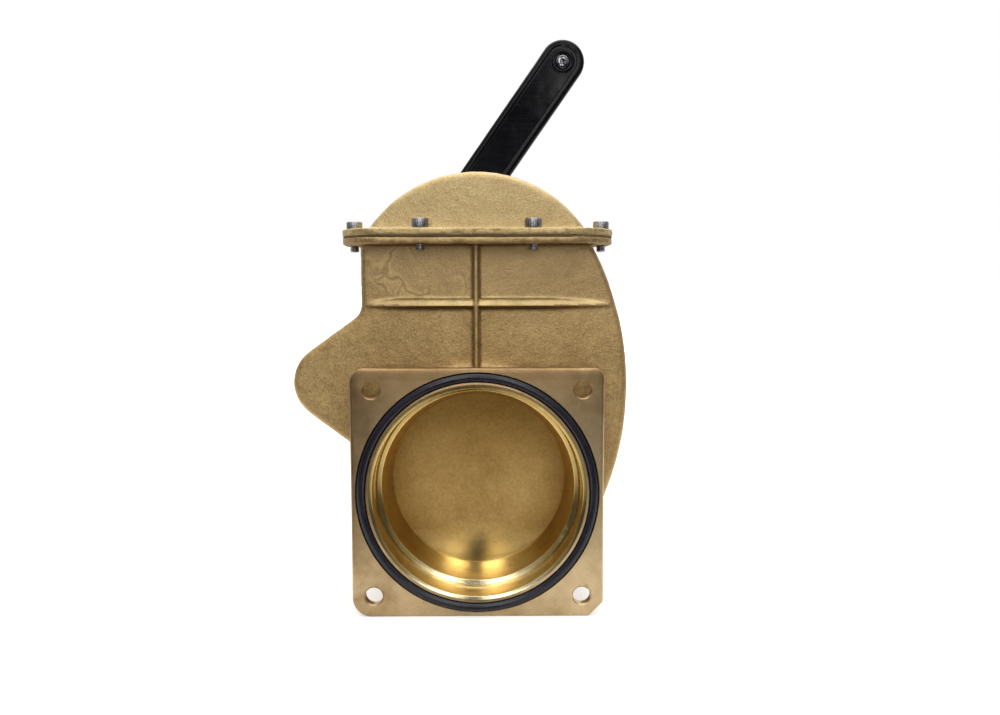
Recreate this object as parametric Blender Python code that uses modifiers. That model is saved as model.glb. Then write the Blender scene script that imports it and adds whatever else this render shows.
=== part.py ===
"""Swing-gate seacock valve, bronze, 4 inch bore.

A round gate swings about a shaft in the bulge at the left of the flat cast
chamber. The lever behind the body turns the shaft: closed, the gate covers the
ports; open, it stands in the domed bonnet and the bore is clear.

Frame: origin at the middle of the foot of the front flange, the flat bottom
edge that the valve stands on. X right, Y through the bore from front to rear,
Z up. The pieces are drawn about the centre of the front port, on the sealing
face, and moved to the foot together at the end. Sizes are in millimetres.
"""

import math

import bmesh
import bpy
from mathutils import Matrix, Vector

MM = 0.001
CLEARANCE = 0.3             # between a fitted piece and its hole, slot or pocket
RUN = 0.1                   # radial running clearance on the shaft
OVERSHOOT = 1.0             # how far forms sink into each other, and cutters run past a face

# ---------------------------------------------------------------- driving dimensions
# Ports
Y_MID = 42.0                # middle of the valve, front to rear
FLANGE_HALF = 64.5          # half side of the square port flange
FLANGE_T = 5.0
FOOT = (0.0, FLANGE_T / 2, -FLANGE_HALF)     # the frame's origin, seen from the port's centre
BORE_R = 53.8

# Chamber: outside faces and outline
Y_FRONT = 23.0
Y_REAR = 2 * Y_MID - Y_FRONT
WALL = 4.0
CASTING_EDGE_R = 2.5        # rounding of the outer edges of body and bonnet
BULGE_AT, BULGE_R = (-77.5, 54.43), 20.45
SWEEP_AT, SWEEP_R = (-78.3, 51.6), 157.7     # right wall
LOWER_R = SWEEP_R - math.hypot(*SWEEP_AT)    # about the port, touching the right wall's arc
LEFT_X = -61.3              # left wall
ROOF_SLOPE = math.radians(35.5)              # roof of the bulge
FLOOR_SLOPE = math.radians(37.3)             # floor of the bulge
ROOF_FILLET_R = 10.0        # between the roof of the bulge and the left wall
FLOOR_EASE = 8.0            # length eased each side of the corner at the end of the floor

# Top joint, from the underside of the body's top flange upwards
TOP_Z = 127.0
BODY_PLATE_T, GASKET_T, COVER_PLATE_T = 3.6, 0.6, 3.8
JOINT_GAP = 0.05
GASKET_Z0 = TOP_Z + BODY_PLATE_T + JOINT_GAP
GASKET_Z1 = GASKET_Z0 + GASKET_T
COVER_Z0 = GASKET_Z1 + JOINT_GAP
COVER_Z1 = COVER_Z0 + COVER_PLATE_T
PLATE_HALF_X, PLATE_HALF_Y, PLATE_CORNER_R = 71.9, 33.0, 26.0
SCREW_R = 2.5
# X, Y of the bonnet screws
SCREWS = [(-67.0, 42.0), (-29.0, 14.5), (29.0, 14.5), (67.0, 42.0), (29.0, 69.5), (-29.0, 69.5)]

# Shaft, along Y, and gate
PIVOT = PIVOT_X, PIVOT_Z = (-77.0, 55.0)
SHAFT_R = 7.0
JOURNAL_R = 6.0                              # front end of the shaft
BUSH_R, BUSH_Y0, BUSH_Y1 = 9.5, 25.5, 31.5
GLAND_R = 10.7
GATE_R, GATE_Y0, GATE_Y1 = 54.0, 35.9, 48.1
ARM_REACH = math.hypot(*PIVOT)               # shaft to the centre of the closed gate
ARM_ANGLE = math.atan2(-PIVOT_Z, -PIVOT_X)   # from the shaft to the closed gate, above +X
OPEN_ANGLE = math.radians(65.0)              # how far the gate swings to open

# Lever
LEVER_ANGLE = math.radians(54.93)            # above +X when closed
LEVER_LEN = 218.6                            # shaft to the centre of the round end
LEVER_W, LEVER_T = 19.0, 5.0
LEVER_Y0 = 69.4                              # front face of the bar at the shaft
LEVER_Y1 = LEVER_Y0 + LEVER_T
GRIP_Y = 81.0                                # middle of the outer part
OUTER_Y0 = GRIP_Y - LEVER_T / 2              # front face of the bar's outer part
OUTER_Y1 = GRIP_Y + LEVER_T / 2
SQUARE_HALF = 5.0                            # half side of the square that drives the lever

# ---------------------------------------------------------------- scene and materials
for old in list(bpy.data.objects):
    bpy.data.objects.remove(old, do_unlink=True)

PARTS = bpy.data.collections.new("swing_gate_seacock")
CUTTERS = bpy.data.collections.new("cutters")
bpy.context.scene.collection.children.link(PARTS)
bpy.context.scene.collection.children.link(CUTTERS)

# The moving pieces hang on an empty on the shaft's axis
AXIS = bpy.data.objects.new("shaft_axis", None)
AXIS.location = (PIVOT_X * MM, 0.0, PIVOT_Z * MM)
PARTS.objects.link(AXIS)


def material(name, colour, roughness, metallic=1.0):
    made = bpy.data.materials.new(name)
    made.use_nodes = True
    shader = made.node_tree.nodes["Principled BSDF"]
    shader.inputs["Base Color"].default_value = (*colour, 1.0)
    shader.inputs["Roughness"].default_value = roughness
    shader.inputs["Metallic"].default_value = metallic
    return made


CAST = material("cast_bronze", colour=(0.55, 0.38, 0.15), roughness=0.55)
COVER = material("cast_cover", colour=(0.62, 0.44, 0.18), roughness=0.55)
TURNED = material("turned_bronze", colour=(0.72, 0.52, 0.22), roughness=0.25)
GATE = material("gate_bronze", colour=(0.50, 0.34, 0.11), roughness=0.5)
STEEL = material("stainless_steel", colour=(0.55, 0.55, 0.56), roughness=0.3)
RUBBER = material("nitrile_rubber", colour=(0.015, 0.016, 0.018), roughness=0.5, metallic=0.0)
SHEET = material("gasket_sheet", colour=(0.16, 0.11, 0.06), roughness=0.9, metallic=0.0)
BLACK = material("black_sleeve", colour=(0.01, 0.01, 0.014), roughness=0.3, metallic=0.0)


# ---------------------------------------------------------------- solids
# A solid given a material is a piece of the valve; without one it is a helper.
def mesh_object(name, shape, look):
    data = bpy.data.meshes.new(name)
    shape.to_mesh(data)
    shape.free()
    data.shade_smooth()
    data.set_sharp_from_angle(angle=math.radians(35))
    obj = bpy.data.objects.new(name, data)
    if look is None:
        CUTTERS.objects.link(obj)
        obj.hide_render = True
        obj.display_type = "WIRE"
    else:
        PARTS.objects.link(obj)
        data.materials.append(look)
    return obj


def box(name, low, high, look=None, turn=0.0, about=(0.0, 0.0)):
    """A block between two corners, turned in X-Z about a point, in radians from +X to +Z."""
    shape = bmesh.new()
    bmesh.ops.create_cube(shape, size=1.0)
    size = [(end - start) * MM for start, end in zip(low, high)]
    middle = [(end + start) / 2 * MM for start, end in zip(low, high)]
    bmesh.ops.scale(shape, vec=size, verts=shape.verts)
    bmesh.ops.translate(shape, vec=middle, verts=shape.verts)
    if turn:
        centre = Vector((about[0] * MM, 0.0, about[1] * MM))
        matrix = Matrix.Rotation(-turn, 3, "Y")
        bmesh.ops.rotate(shape, cent=centre, matrix=matrix, verts=shape.verts)
    return mesh_object(name, shape, look)


def shaft_box(name, low, high, look=None, turn=0.0):
    """A block whose X and Z are measured from the shaft, turned about it."""
    corners = [(PIVOT_X + x, y, PIVOT_Z + z) for x, y, z in (low, high)]
    return box(name, *corners, look=look, turn=turn, about=PIVOT)


def cylinder(name, radius, start, end, at=(0.0, 0.0), sides=48, look=None, along="Y"):
    """A cylinder along Y at an X, Z place, or along Z at an X, Y place."""
    shape = bmesh.new()
    bmesh.ops.create_cone(shape, cap_ends=True, segments=sides, radius1=radius * MM,
                          radius2=radius * MM, depth=(end - start) * MM)
    middle = (start + end) / 2 * MM
    place = (at[0] * MM, at[1] * MM, middle)
    if along == "Y":
        matrix = Matrix.Rotation(math.radians(-90), 3, "X")
        bmesh.ops.rotate(shape, matrix=matrix, verts=shape.verts)
        place = (at[0] * MM, middle, at[1] * MM)
    bmesh.ops.translate(shape, vec=place, verts=shape.verts)
    return mesh_object(name, shape, look)


def turned(name, profile, at=(0.0, 0.0), sides=48, look=None, closed=True, along="Y"):
    """A profile of (radius, height) turned about Y or Z, from the far end down the outer side.

    A closed profile makes a ring; an open one starts and ends on the axis.
    """
    shape = bmesh.new()
    points = [shape.verts.new((radius * MM, 0.0, height * MM)) for radius, height in profile]
    for point, following in zip(points, points[1:]):
        shape.edges.new((point, following))
    if closed:
        shape.edges.new((points[-1], points[0]))
    obj = mesh_object(name, shape, look)
    screw = obj.modifiers.new("turn", "SCREW")
    screw.steps = screw.render_steps = sides
    screw.use_merge_vertices = True
    screw.merge_threshold = 0.00001
    screw.use_smooth_shade = True
    if along == "Y":
        obj.rotation_euler = (math.radians(-90), 0.0, 0.0)
        obj.location = (at[0] * MM, 0.0, at[1] * MM)
    else:
        obj.location = (at[0] * MM, at[1] * MM, 0.0)
    return obj


def ring_profile(inner, outer, y0, y1, chamfer=0.0):
    """Section of a ring, with its outer edges chamfered where asked."""
    if not chamfer:
        return [(inner, y1), (outer, y1), (outer, y0), (inner, y0)]
    return [(inner, y1), (outer - chamfer, y1), (outer, y1 - chamfer),
            (outer, y0 + chamfer), (outer - chamfer, y0), (inner, y0)]


def oring(name, ring_r, cord, y, at=(0.0, 0.0), around=48, section=8):
    angles = [-2 * math.pi * (i + 0.5) / section for i in range(section)]
    points = [(ring_r + cord / 2 * math.cos(angle), y + cord / 2 * math.sin(angle))
              for angle in angles]
    return turned(name, points, at, around, RUBBER)


def plate(name, outline, start, end, round_edge=0.0, look=None, flat="XZ"):
    """An outline in X-Z or X-Y given thickness, with rounded edges where asked, made a mesh."""
    curve = bpy.data.curves.new(name, "CURVE")
    curve.dimensions = "2D"
    curve.fill_mode = "BOTH"
    spline = curve.splines.new("POLY")
    spline.points.add(len(outline) - 1)
    for point, (across, up) in zip(spline.points, outline):
        point.co = (across * MM, up * MM, 0.0, 1.0)
    spline.use_cyclic_u = True
    curve.extrude = ((end - start) / 2 - round_edge) * MM
    curve.bevel_depth = round_edge * MM
    curve.bevel_resolution = 1
    curve.offset = -round_edge * MM
    source = bpy.data.objects.new(name + "_outline", curve)
    CUTTERS.objects.link(source)
    middle = (start + end) / 2 * MM
    if flat == "XZ":
        source.rotation_euler = (math.radians(90), 0.0, 0.0)
        source.location = (0.0, middle, 0.0)
    else:
        source.location = (0.0, 0.0, middle)
    bpy.context.view_layer.update()
    graph = bpy.context.evaluated_depsgraph_get()
    data = bpy.data.meshes.new_from_object(source.evaluated_get(graph))
    matrix = source.matrix_world.copy()
    bpy.data.objects.remove(source, do_unlink=True)
    shape = bmesh.new()
    shape.from_mesh(data)
    bmesh.ops.remove_doubles(shape, verts=shape.verts, dist=0.000005)
    bmesh.ops.transform(shape, matrix=matrix, verts=shape.verts)
    bmesh.ops.recalc_face_normals(shape, faces=shape.faces)
    return mesh_object(name, shape, look)


def combine(obj, prefix, operation, others):
    for other in others:
        boolean = obj.modifiers.new(prefix + other.name, "BOOLEAN")
        boolean.operation = operation
        boolean.solver = "EXACT"
        boolean.object = other


def join(obj, *others):
    combine(obj, "join_", "UNION", others)


def cut(obj, *others):
    combine(obj, "cut_", "DIFFERENCE", others)


def on_shaft(obj):
    """Parents a moving piece to the empty on the shaft's axis, keeping its place."""
    obj.parent = AXIS
    obj.matrix_parent_inverse = Matrix.Translation(AXIS.location).inverted()


def from_shaft(distance, angle):
    """X, Z at a distance and direction from the shaft."""
    return (PIVOT_X + distance * math.cos(angle), PIVOT_Z + distance * math.sin(angle))


# The two ports mirror each other about Y_MID
PORTS = ("front", "rear")


def port_span(port, y0, y1):
    """Y range at a port, given for the front one."""
    return (y0, y1) if port == "front" else (2 * Y_MID - y1, 2 * Y_MID - y0)


def port_profile(port, profile):
    """Turning profile at a port, given for the front one."""
    if port == "front":
        return profile
    return [(radius, 2 * Y_MID - y) for radius, y in reversed(profile)]


# ---------------------------------------------------------------- outlines
def arc(centre_x, centre_z, radius, start, end, step=6.0):
    """Points on an arc, angles in degrees, both ends included."""
    count = max(1, round(abs(end - start) / step))
    angles = [math.radians(start + (end - start) * i / count) for i in range(count + 1)]
    return [(centre_x + radius * math.cos(angle), centre_z + radius * math.sin(angle))
            for angle in angles]


def chamber_outline(inset, top):
    """Outline of the chamber in X-Z, moved in by a wall's thickness, closed off level at top."""
    bulge_r, sweep_r, lower_r = BULGE_R - inset, SWEEP_R - inset, LOWER_R - inset
    left = LEFT_X + inset
    roof_deg, floor_deg = math.degrees(ROOF_SLOPE), math.degrees(FLOOR_SLOPE)
    (bulge_x, bulge_z), (sweep_x, sweep_z) = BULGE_AT, SWEEP_AT

    # right wall, from the top down to where it touches the lower rounding
    touch = math.degrees(math.atan2(-sweep_z, -sweep_x))
    wall_top = math.degrees(math.asin((top - sweep_z) / sweep_r))
    points = arc(sweep_x, sweep_z, sweep_r, wall_top, touch, 4.5)

    # the floor leaves the bulge and runs down to meet the lower rounding
    down_x, down_z = math.cos(FLOOR_SLOPE), -math.sin(FLOOR_SLOPE)
    floor_x, floor_z = bulge_x + bulge_r * down_z, bulge_z - bulge_r * down_x
    offset = floor_x * down_z - floor_z * down_x
    run = -(floor_x * down_x + floor_z * down_z) - math.sqrt(lower_r ** 2 - offset ** 2)
    meet = (floor_x + run * down_x, floor_z + run * down_z)
    meet_deg = math.degrees(math.atan2(meet[1], meet[0])) - 360.0
    points += arc(0.0, 0.0, lower_r, touch, meet_deg + math.degrees(FLOOR_EASE / lower_r), 9.0)[1:]

    # a small fillet in the corner between the two
    start = points[-1]
    end = (meet[0] - FLOOR_EASE * down_x, meet[1] - FLOOR_EASE * down_z)
    for i in range(1, 4):
        part = i / 4
        points.append(tuple(
            (1 - part) ** 2 * first + 2 * part * (1 - part) * corner + part * part * last
            for first, corner, last in zip(start, meet, end)))
    points.append(end)

    # round the bulge, from below to above
    points += arc(bulge_x, bulge_z, bulge_r, -90.0 - floor_deg, roof_deg + 90.0 - 360.0, 15.0)

    # the roof of the bulge runs up to the left wall through a fillet
    fillet_r = ROOF_FILLET_R + inset
    normal_x, normal_z = -math.sin(ROOF_SLOPE), math.cos(ROOF_SLOPE)
    roof_x, roof_z = bulge_x + bulge_r * normal_x, bulge_z + bulge_r * normal_z
    fillet_x = left - fillet_r
    roof_run = ((fillet_x - roof_x) - fillet_r * normal_x) / math.cos(ROOF_SLOPE)
    fillet_z = roof_z + roof_run * math.sin(ROOF_SLOPE) + fillet_r * normal_z
    points += arc(fillet_x, fillet_z, fillet_r, roof_deg - 90.0, 0.0, 18.0)
    points.append((left, top))
    return points


def top_plate_outline():
    """The rounded oblong, in X-Y, of both plates of the top joint and of its gasket."""
    inner_x, inner_y = PLATE_HALF_X - PLATE_CORNER_R, PLATE_HALF_Y - PLATE_CORNER_R
    points = []
    for side_x, side_y, start in ((1, 1, 0.0), (-1, 1, 90.0), (-1, -1, 180.0), (1, -1, 270.0)):
        points += arc(side_x * inner_x, Y_MID + side_y * inner_y, PLATE_CORNER_R,
                      start, start + 90.0, 15.0)
    return points


def flange_outline():
    """The port flange: three rounded corners and, at the lower right, one cut flat."""
    half = FLANGE_HALF
    points = []
    # corner radius, side in X and Z, start angle, step
    for radius, side_x, side_z, start, step in (
            (6.0, 1, 1, 0.0, 22.5), (8.0, -1, 1, 90.0, 22.5), (9.6, -1, -1, 180.0, 18.0)):
        points += arc(side_x * (half - radius), side_z * (half - radius), radius,
                      start, start + 90.0, step)
    return points + [(half - 7.5, -half), (half - 6.3, 0.6 - half),
                     (half - 0.6, 6.3 - half), (half, 7.5 - half)]


def dome_outline(inset, base):
    """The dome in X-Z, closed off level at its base."""
    dome_x, dome_z, radius = -0.2, 95.8, 69.1 - inset
    start = math.degrees(math.asin((base - dome_z) / radius))
    return arc(dome_x, dome_z, radius, start, 180.0 - start, 6.0)


def cut_screw_holes(obj, prefix, z0, z1):
    for number, at in enumerate(SCREWS, 1):
        cut(obj, cylinder(f"{prefix}_screw_hole_{number}", SCREW_R + CLEARANCE, z0, z1, at, 12,
                          along="Z"))


# ---------------------------------------------------------------- valve body
NECK_R = 61.4               # outside of the neck behind the flange
NECK_SINK = 1.2             # how far the neck runs into the chamber wall
BOSS_SINK = 1.5             # how far a boss runs into the chamber wall
RIB_H = 3.4                 # ribs above the broad faces
UPRIGHT_X0, UPRIGHT_X1, UPRIGHT_Z0 = -2.2, 0.9, 58.0
# X, Z of the cross rib, which runs to points at its ends
CROSS_RIB = [(-58.2, 95.8), (-50.0, 94.3), (58.0, 94.3),
             (68.0, 95.8), (58.0, 97.3), (-50.0, 97.3)]
BOLT_XZ = 53.5              # flange bolt holes at +-this
BOLT_HOLE_R = 4.5           # clears M8
CONE_R, CONE_Y0, CONE_Y1 = 56.85, -0.3, 1.1  # the bore opens to this radius at CONE_Y0
GROOVE_IN, GROOVE_OUT, GROOVE_DEPTH = 57.2, 62.1, 3.4
PAD_GAP = 0.4               # between the gate's rim and a stop pad


def join_port_forms(body):
    for port in PORTS:
        flange = plate(port + "_flange_form", flange_outline(), *port_span(port, 0.0, FLANGE_T))
        neck = cylinder(port + "_neck_form", NECK_R,
                        *port_span(port, FLANGE_T - OVERSHOOT, Y_FRONT + NECK_SINK))
        join(body, neck, flange)


def join_ribs(body):
    """Crossed ribs on both broad faces."""
    for port in PORTS:
        y0, y1 = port_span(port, Y_FRONT - RIB_H, Y_FRONT + OVERSHOOT)
        upright = box(port + "_upright_rib", (UPRIGHT_X0, y0, UPRIGHT_Z0),
                      (UPRIGHT_X1, y1, TOP_Z + 0.8))
        across = plate(port + "_cross_rib", CROSS_RIB, y0, y1)
        join(body, upright, across)


def cut_ports(body):
    """Bores, each opening out in a shallow cone at the flange face, and seal grooves."""
    bore_end = Y_FRONT + WALL + 2.0
    bore = [(0.0, bore_end), (BORE_R, bore_end), (BORE_R, CONE_Y1),
            (CONE_R, CONE_Y0), (CONE_R, -OVERSHOOT), (0.0, -OVERSHOOT)]
    for port in PORTS:
        cut(body, turned(port + "_bore", port_profile(port, bore), closed=False))
    groove = ring_profile(GROOVE_IN, GROOVE_OUT, -OVERSHOOT, GROOVE_DEPTH)
    for port in PORTS:
        cut(body, turned(port + "_groove", port_profile(port, groove)))


def cut_bolt_holes(body):
    places = [(x, z) for x in (-BOLT_XZ, BOLT_XZ) for z in (-BOLT_XZ, BOLT_XZ)]
    for number, at in enumerate(places, 1):
        for port in PORTS:
            y0, y1 = port_span(port, -OVERSHOOT, FLANGE_T + OVERSHOOT)
            cut(body, cylinder(f"{port}_bolt_hole_{number}", BOLT_HOLE_R, y0, y1, at, 12))


def make_body():
    body = plate("valve_body", chamber_outline(0.0, TOP_Z + 1.5), Y_FRONT, Y_REAR,
                 CASTING_EDGE_R, CAST)
    join(body, plate("body_top_plate", top_plate_outline(), TOP_Z, TOP_Z + BODY_PLATE_T,
                     flat="XY"))
    join_port_forms(body)
    join_ribs(body)
    join(body, cylinder("gland_boss", 15.4, Y_REAR - BOSS_SINK, 65.0, PIVOT, 24))

    # The chamber itself, open at the top, then the bearing bosses inside both walls
    inner_y0, inner_y1 = Y_FRONT + WALL, Y_REAR - WALL
    cut(body, plate("chamber_space", chamber_outline(WALL, TOP_Z + 12.0), inner_y0, inner_y1))
    join(body, cylinder("front_bearing_boss", 13.0, inner_y0 - BOSS_SINK, BUSH_Y1, PIVOT, 24))
    join(body, cylinder("rear_bearing_boss", 14.0, 52.0, inner_y1 + BOSS_SINK, PIVOT, 24))

    # Cast pad that stops the gate when it covers the ports
    join(body, box("closed_stop_pad", (GATE_R + PAD_GAP, 36.2, -7.0), (LOWER_R - 2.0, 47.8, 7.0),
                   turn=ARM_ANGLE - math.radians(90)))

    cut_ports(body)
    cut(body, cylinder("bush_socket", BUSH_R + CLEARANCE, BUSH_Y0 - CLEARANCE, 40.0, PIVOT, 24))
    cut(body, cylinder("shaft_hole", SHAFT_R + CLEARANCE, 45.0, 60.0, PIVOT, 24))
    cut(body, cylinder("gland_socket", GLAND_R + CLEARANCE, 54.0, 70.0, PIVOT, 24))
    cut_bolt_holes(body)
    cut_screw_holes(body, "body", TOP_Z - 4.0, TOP_Z + 6.0)


# ---------------------------------------------------------------- bonnet, gasket and screws
DOME_WALL = 3.5
WINDOW_X0, WINDOW_X1 = -56.5, 56.0           # the chamber's opening through the gasket
SCREW_HEAD_R, SCREW_HEAD_H = 4.25, 5.0
SCREW_END_Z = 123.7
SOCKET_R, SOCKET_DEPTH = 2.31, 2.6           # hexagon, across its corners / 2


def make_bonnet():
    cover = plate("bonnet_cover", dome_outline(0.0, COVER_Z1 - 2.0), Y_FRONT, Y_REAR,
                  CASTING_EDGE_R, COVER)
    join(cover, plate("cover_plate", top_plate_outline(), COVER_Z0, COVER_Z1, flat="XY"))
    # squares off the rounded underside of the dome where it meets its plate
    cut(cover, box("below_cover", (-90.0, 0.0, COVER_Z0 - 20.0), (90.0, 90.0, COVER_Z0)))
    cut(cover, plate("dome_space", dome_outline(DOME_WALL, COVER_Z0 - 3.0),
                     Y_FRONT + WALL, Y_REAR - WALL))

    # Cast pad that stops the gate when it stands in the dome
    gate_x, gate_z = from_shaft(ARM_REACH, ARM_ANGLE + OPEN_ANGLE)
    join(cover, box("open_stop_pad", (gate_x + GATE_R + PAD_GAP, 34.0, gate_z - 6.0),
                    (gate_x + GATE_R + 10.2, 50.0, gate_z + 6.0),
                    turn=ARM_ANGLE + OPEN_ANGLE + math.radians(90), about=(gate_x, gate_z)))
    cut_screw_holes(cover, "cover", COVER_Z0 - 2.0, COVER_Z1 + 2.0)


def make_gasket():
    z0, z1 = GASKET_Z0 - 2.0, GASKET_Z1 + 2.0
    gasket = plate("bonnet_gasket", top_plate_outline(), GASKET_Z0, GASKET_Z1, look=SHEET,
                   flat="XY")
    cut(gasket, box("gasket_window", (WINDOW_X0, Y_FRONT + WALL, z0),
                    (WINDOW_X1, Y_REAR - WALL, z1)))
    cut_screw_holes(gasket, "gasket", z0, z1)


def make_bonnet_screws():
    """Socket cap screws: head, shank and hexagon socket."""
    head_z = COVER_Z1 + JOINT_GAP
    top = head_z + SCREW_HEAD_H
    profile = [(0.0, top), (SCREW_HEAD_R, top), (SCREW_HEAD_R, head_z),
               (SCREW_R, head_z), (SCREW_R, SCREW_END_Z), (0.0, SCREW_END_Z)]
    for number, at in enumerate(SCREWS, 1):
        screw = turned(f"bonnet_screw_{number}", profile, at, 16, STEEL, closed=False, along="Z")
        cut(screw, cylinder(f"socket_{number}", SOCKET_R, top - SOCKET_DEPTH, top + OVERSHOOT,
                            at, 6, along="Z"))


# ---------------------------------------------------------------- port seals and seats
PORT_ORING_R, PORT_ORING_CORD, PORT_ORING_Y = 59.65, 4.3, 1.2
SEAT_OUTER_R = BORE_R - CLEARANCE
# radius, Y of the front seat ring
SEAT_PROFILE = [(46.9, 35.6), (SEAT_OUTER_R, 35.6), (SEAT_OUTER_R, 15.2),
                (51.0, 16.1), (50.4, 17.0), (47.2, 34.6)]


def make_port_rings():
    for port, y in zip(PORTS, (PORT_ORING_Y, 2 * Y_MID - PORT_ORING_Y)):
        oring(port + "_port_oring", PORT_ORING_R, PORT_ORING_CORD, y)
        turned(port + "_seat_ring", port_profile(port, SEAT_PROFILE), look=TURNED)


# ---------------------------------------------------------------- shaft bearings and seal
THRUST_R = 12.4
# name, inner and outer radius, front and rear Y, chamfer, material
BEARING_RINGS = [
    ("front_shaft_bush", JOURNAL_R + RUN, BUSH_R, BUSH_Y0, BUSH_Y1, 0.3, TURNED),
    ("front_thrust_washer", JOURNAL_R + RUN + 1.2, THRUST_R, 31.8, 32.8, 0.0, STEEL),
    ("rear_thrust_washer", SHAFT_R + RUN, THRUST_R, 51.0, 51.7, 0.0, STEEL),
    ("gland_washer", SHAFT_R + RUN, GLAND_R, 54.3, 55.3, 0.0, STEEL),
]
SHAFT_ORING_R, SHAFT_ORING_CORD = 9.0, 3.2
SHAFT_ORING_YS = (57.2, 60.7)


def make_bearings():
    for name, inner, outer, y0, y1, chamfer, look in BEARING_RINGS:
        turned(name, ring_profile(inner, outer, y0, y1, chamfer), PIVOT, 36, look)
    for number, y in enumerate(SHAFT_ORING_YS, 1):
        oring(f"shaft_oring_{number}", SHAFT_ORING_R, SHAFT_ORING_CORD, y, PIVOT, 24, 6)


def make_gland():
    gland = turned("gland_bush", ring_profile(SHAFT_R + RUN, GLAND_R, 62.6, 66.2),
                   PIVOT, 36, TURNED)
    join(gland, cylinder("gland_hexagon", 13.6, 65.3, 69.0, PIVOT, 6))
    cut(gland, cylinder("gland_hole", SHAFT_R + RUN, 60.0, 72.0, PIVOT, 24))


# ---------------------------------------------------------------- shaft, key, arm and gate
THREAD_R = 4.8
# radius, Y of the shaft
SHAFT_PROFILE = [
    (0.0, 83.0), (4.3, 83.0), (THREAD_R, 82.5), (THREAD_R, LEVER_Y1), (SHAFT_R, LEVER_Y1),
    (SHAFT_R, 33.0), (JOURNAL_R, 33.0), (JOURNAL_R, 26.2), (5.6, 25.8), (0.0, 25.8),
]
# The key lies on the side of the shaft away from the gate
KEY_ANGLE = ARM_ANGLE + math.pi
KEY_IN, KEY_OUT = 4.7, 9.0                   # from the shaft's axis
KEY_HALF_W, KEY_HALF_LEN = 1.9, 6.0
KEYWAY_HALF_W = KEY_HALF_W + CLEARANCE
# The arm's tongue fits a slot in the gate; lengths are from the shaft
TONGUE_START, SLOT_START, TONGUE_END = 30.0, 35.0, 57.0
TONGUE_HALF_W, TONGUE_HALF_T = 12.5, 2.3
BLADE_LEN, BLADE_ROOT_HALF, BLADE_END_HALF = 40.0, 10.5, 13.0
PIN_R, PIN_Y0 = 2.0, 37.7
PIN_ALONG, PIN_SIDE = 51.0, 7.0              # along the arm, and to each side of it


def make_shaft():
    shaft = turned("lever_shaft", SHAFT_PROFILE, PIVOT, 36, STEEL, closed=False)
    # four flats leave a square that drives the lever
    for number in range(4):
        cut(shaft, shaft_box(f"shaft_flat_{number}", (SQUARE_HALF, 69.2, -9.0), (9.0, 78.0, 9.0),
                             turn=LEVER_ANGLE + number * math.radians(90)))
    half_len = KEY_HALF_LEN + CLEARANCE
    cut(shaft, shaft_box("shaft_keyway", (KEY_IN - CLEARANCE, Y_MID - half_len, -KEYWAY_HALF_W),
                         (KEY_OUT, Y_MID + half_len, KEYWAY_HALF_W), turn=KEY_ANGLE))
    on_shaft(shaft)


def make_key():
    on_shaft(shaft_box("gate_key", (KEY_IN, Y_MID - KEY_HALF_LEN, -KEY_HALF_W),
                       (KEY_OUT, Y_MID + KEY_HALF_LEN, KEY_HALF_W), STEEL, KEY_ANGLE))


def lay_along_arm(obj):
    """Turns a helper drawn along +X from the shaft to the arm's direction."""
    centre = Vector((PIVOT_X * MM, 0.0, PIVOT_Z * MM))
    obj.rotation_euler = (0.0, -ARM_ANGLE, 0.0)
    obj.location = centre - Matrix.Rotation(-ARM_ANGLE, 3, "Y") @ centre
    return obj


def tongue_box(name, start, gap):
    """The tongue, or with a gap all round the slot for it."""
    half_w, half_t = TONGUE_HALF_W + gap, TONGUE_HALF_T + gap
    return lay_along_arm(shaft_box(name, (start, Y_MID - half_t, -half_w),
                                   (TONGUE_END + gap, Y_MID + half_t, half_w)))


def make_arm():
    arm = cylinder("gate_arm", 12.6, 33.1, 50.7, PIVOT, 36, GATE)
    outline = [(PIVOT_X, PIVOT_Z - BLADE_ROOT_HALF),
               (PIVOT_X + BLADE_LEN, PIVOT_Z - BLADE_END_HALF),
               (PIVOT_X + BLADE_LEN, PIVOT_Z + BLADE_END_HALF),
               (PIVOT_X, PIVOT_Z + BLADE_ROOT_HALF)]
    blade = lay_along_arm(plate("arm_blade", outline, 38.0, 46.0))
    join(arm, blade, tongue_box("arm_tongue", TONGUE_START, 0.0))
    cut(arm, cylinder("hub_hole", SHAFT_R + CLEARANCE, 30.0, 54.0, PIVOT, 24))
    cut(arm, shaft_box("hub_keyway", (4.0, 30.0, -KEYWAY_HALF_W),
                       (KEY_OUT + CLEARANCE, 54.0, KEYWAY_HALF_W), turn=KEY_ANGLE))
    on_shaft(arm)
    return arm


def make_gate():
    gate = cylinder("gate_disc", GATE_R, GATE_Y0, GATE_Y1, look=GATE)
    cut(gate, tongue_box("gate_slot", SLOT_START, CLEARANCE))
    on_shaft(gate)
    return gate


def make_gate_pins(gate, arm):
    """Pins through the gate and the arm's tongue, with their holes."""
    hole_r, top = PIN_R + CLEARANCE, GATE_Y1 - 0.1
    profile = [(0.0, top), (PIN_R, top), (PIN_R, PIN_Y0), (0.0, PIN_Y0)]
    for number, side in enumerate((-PIN_SIDE, PIN_SIDE), 1):
        x, z = from_shaft(PIN_ALONG, ARM_ANGLE)
        at = (x - side * math.sin(ARM_ANGLE), z + side * math.cos(ARM_ANGLE))
        cut(gate, cylinder(f"gate_pin_hole_{number}", hole_r, PIN_Y0 - CLEARANCE, GATE_Y1 + 2.0,
                           at, 20))
        cut(arm, cylinder(f"arm_pin_hole_{number}", hole_r, 36.0, 50.0, at, 20))
        on_shaft(turned(f"gate_pin_{number}", profile, at, 16, STEEL, closed=False))


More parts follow.
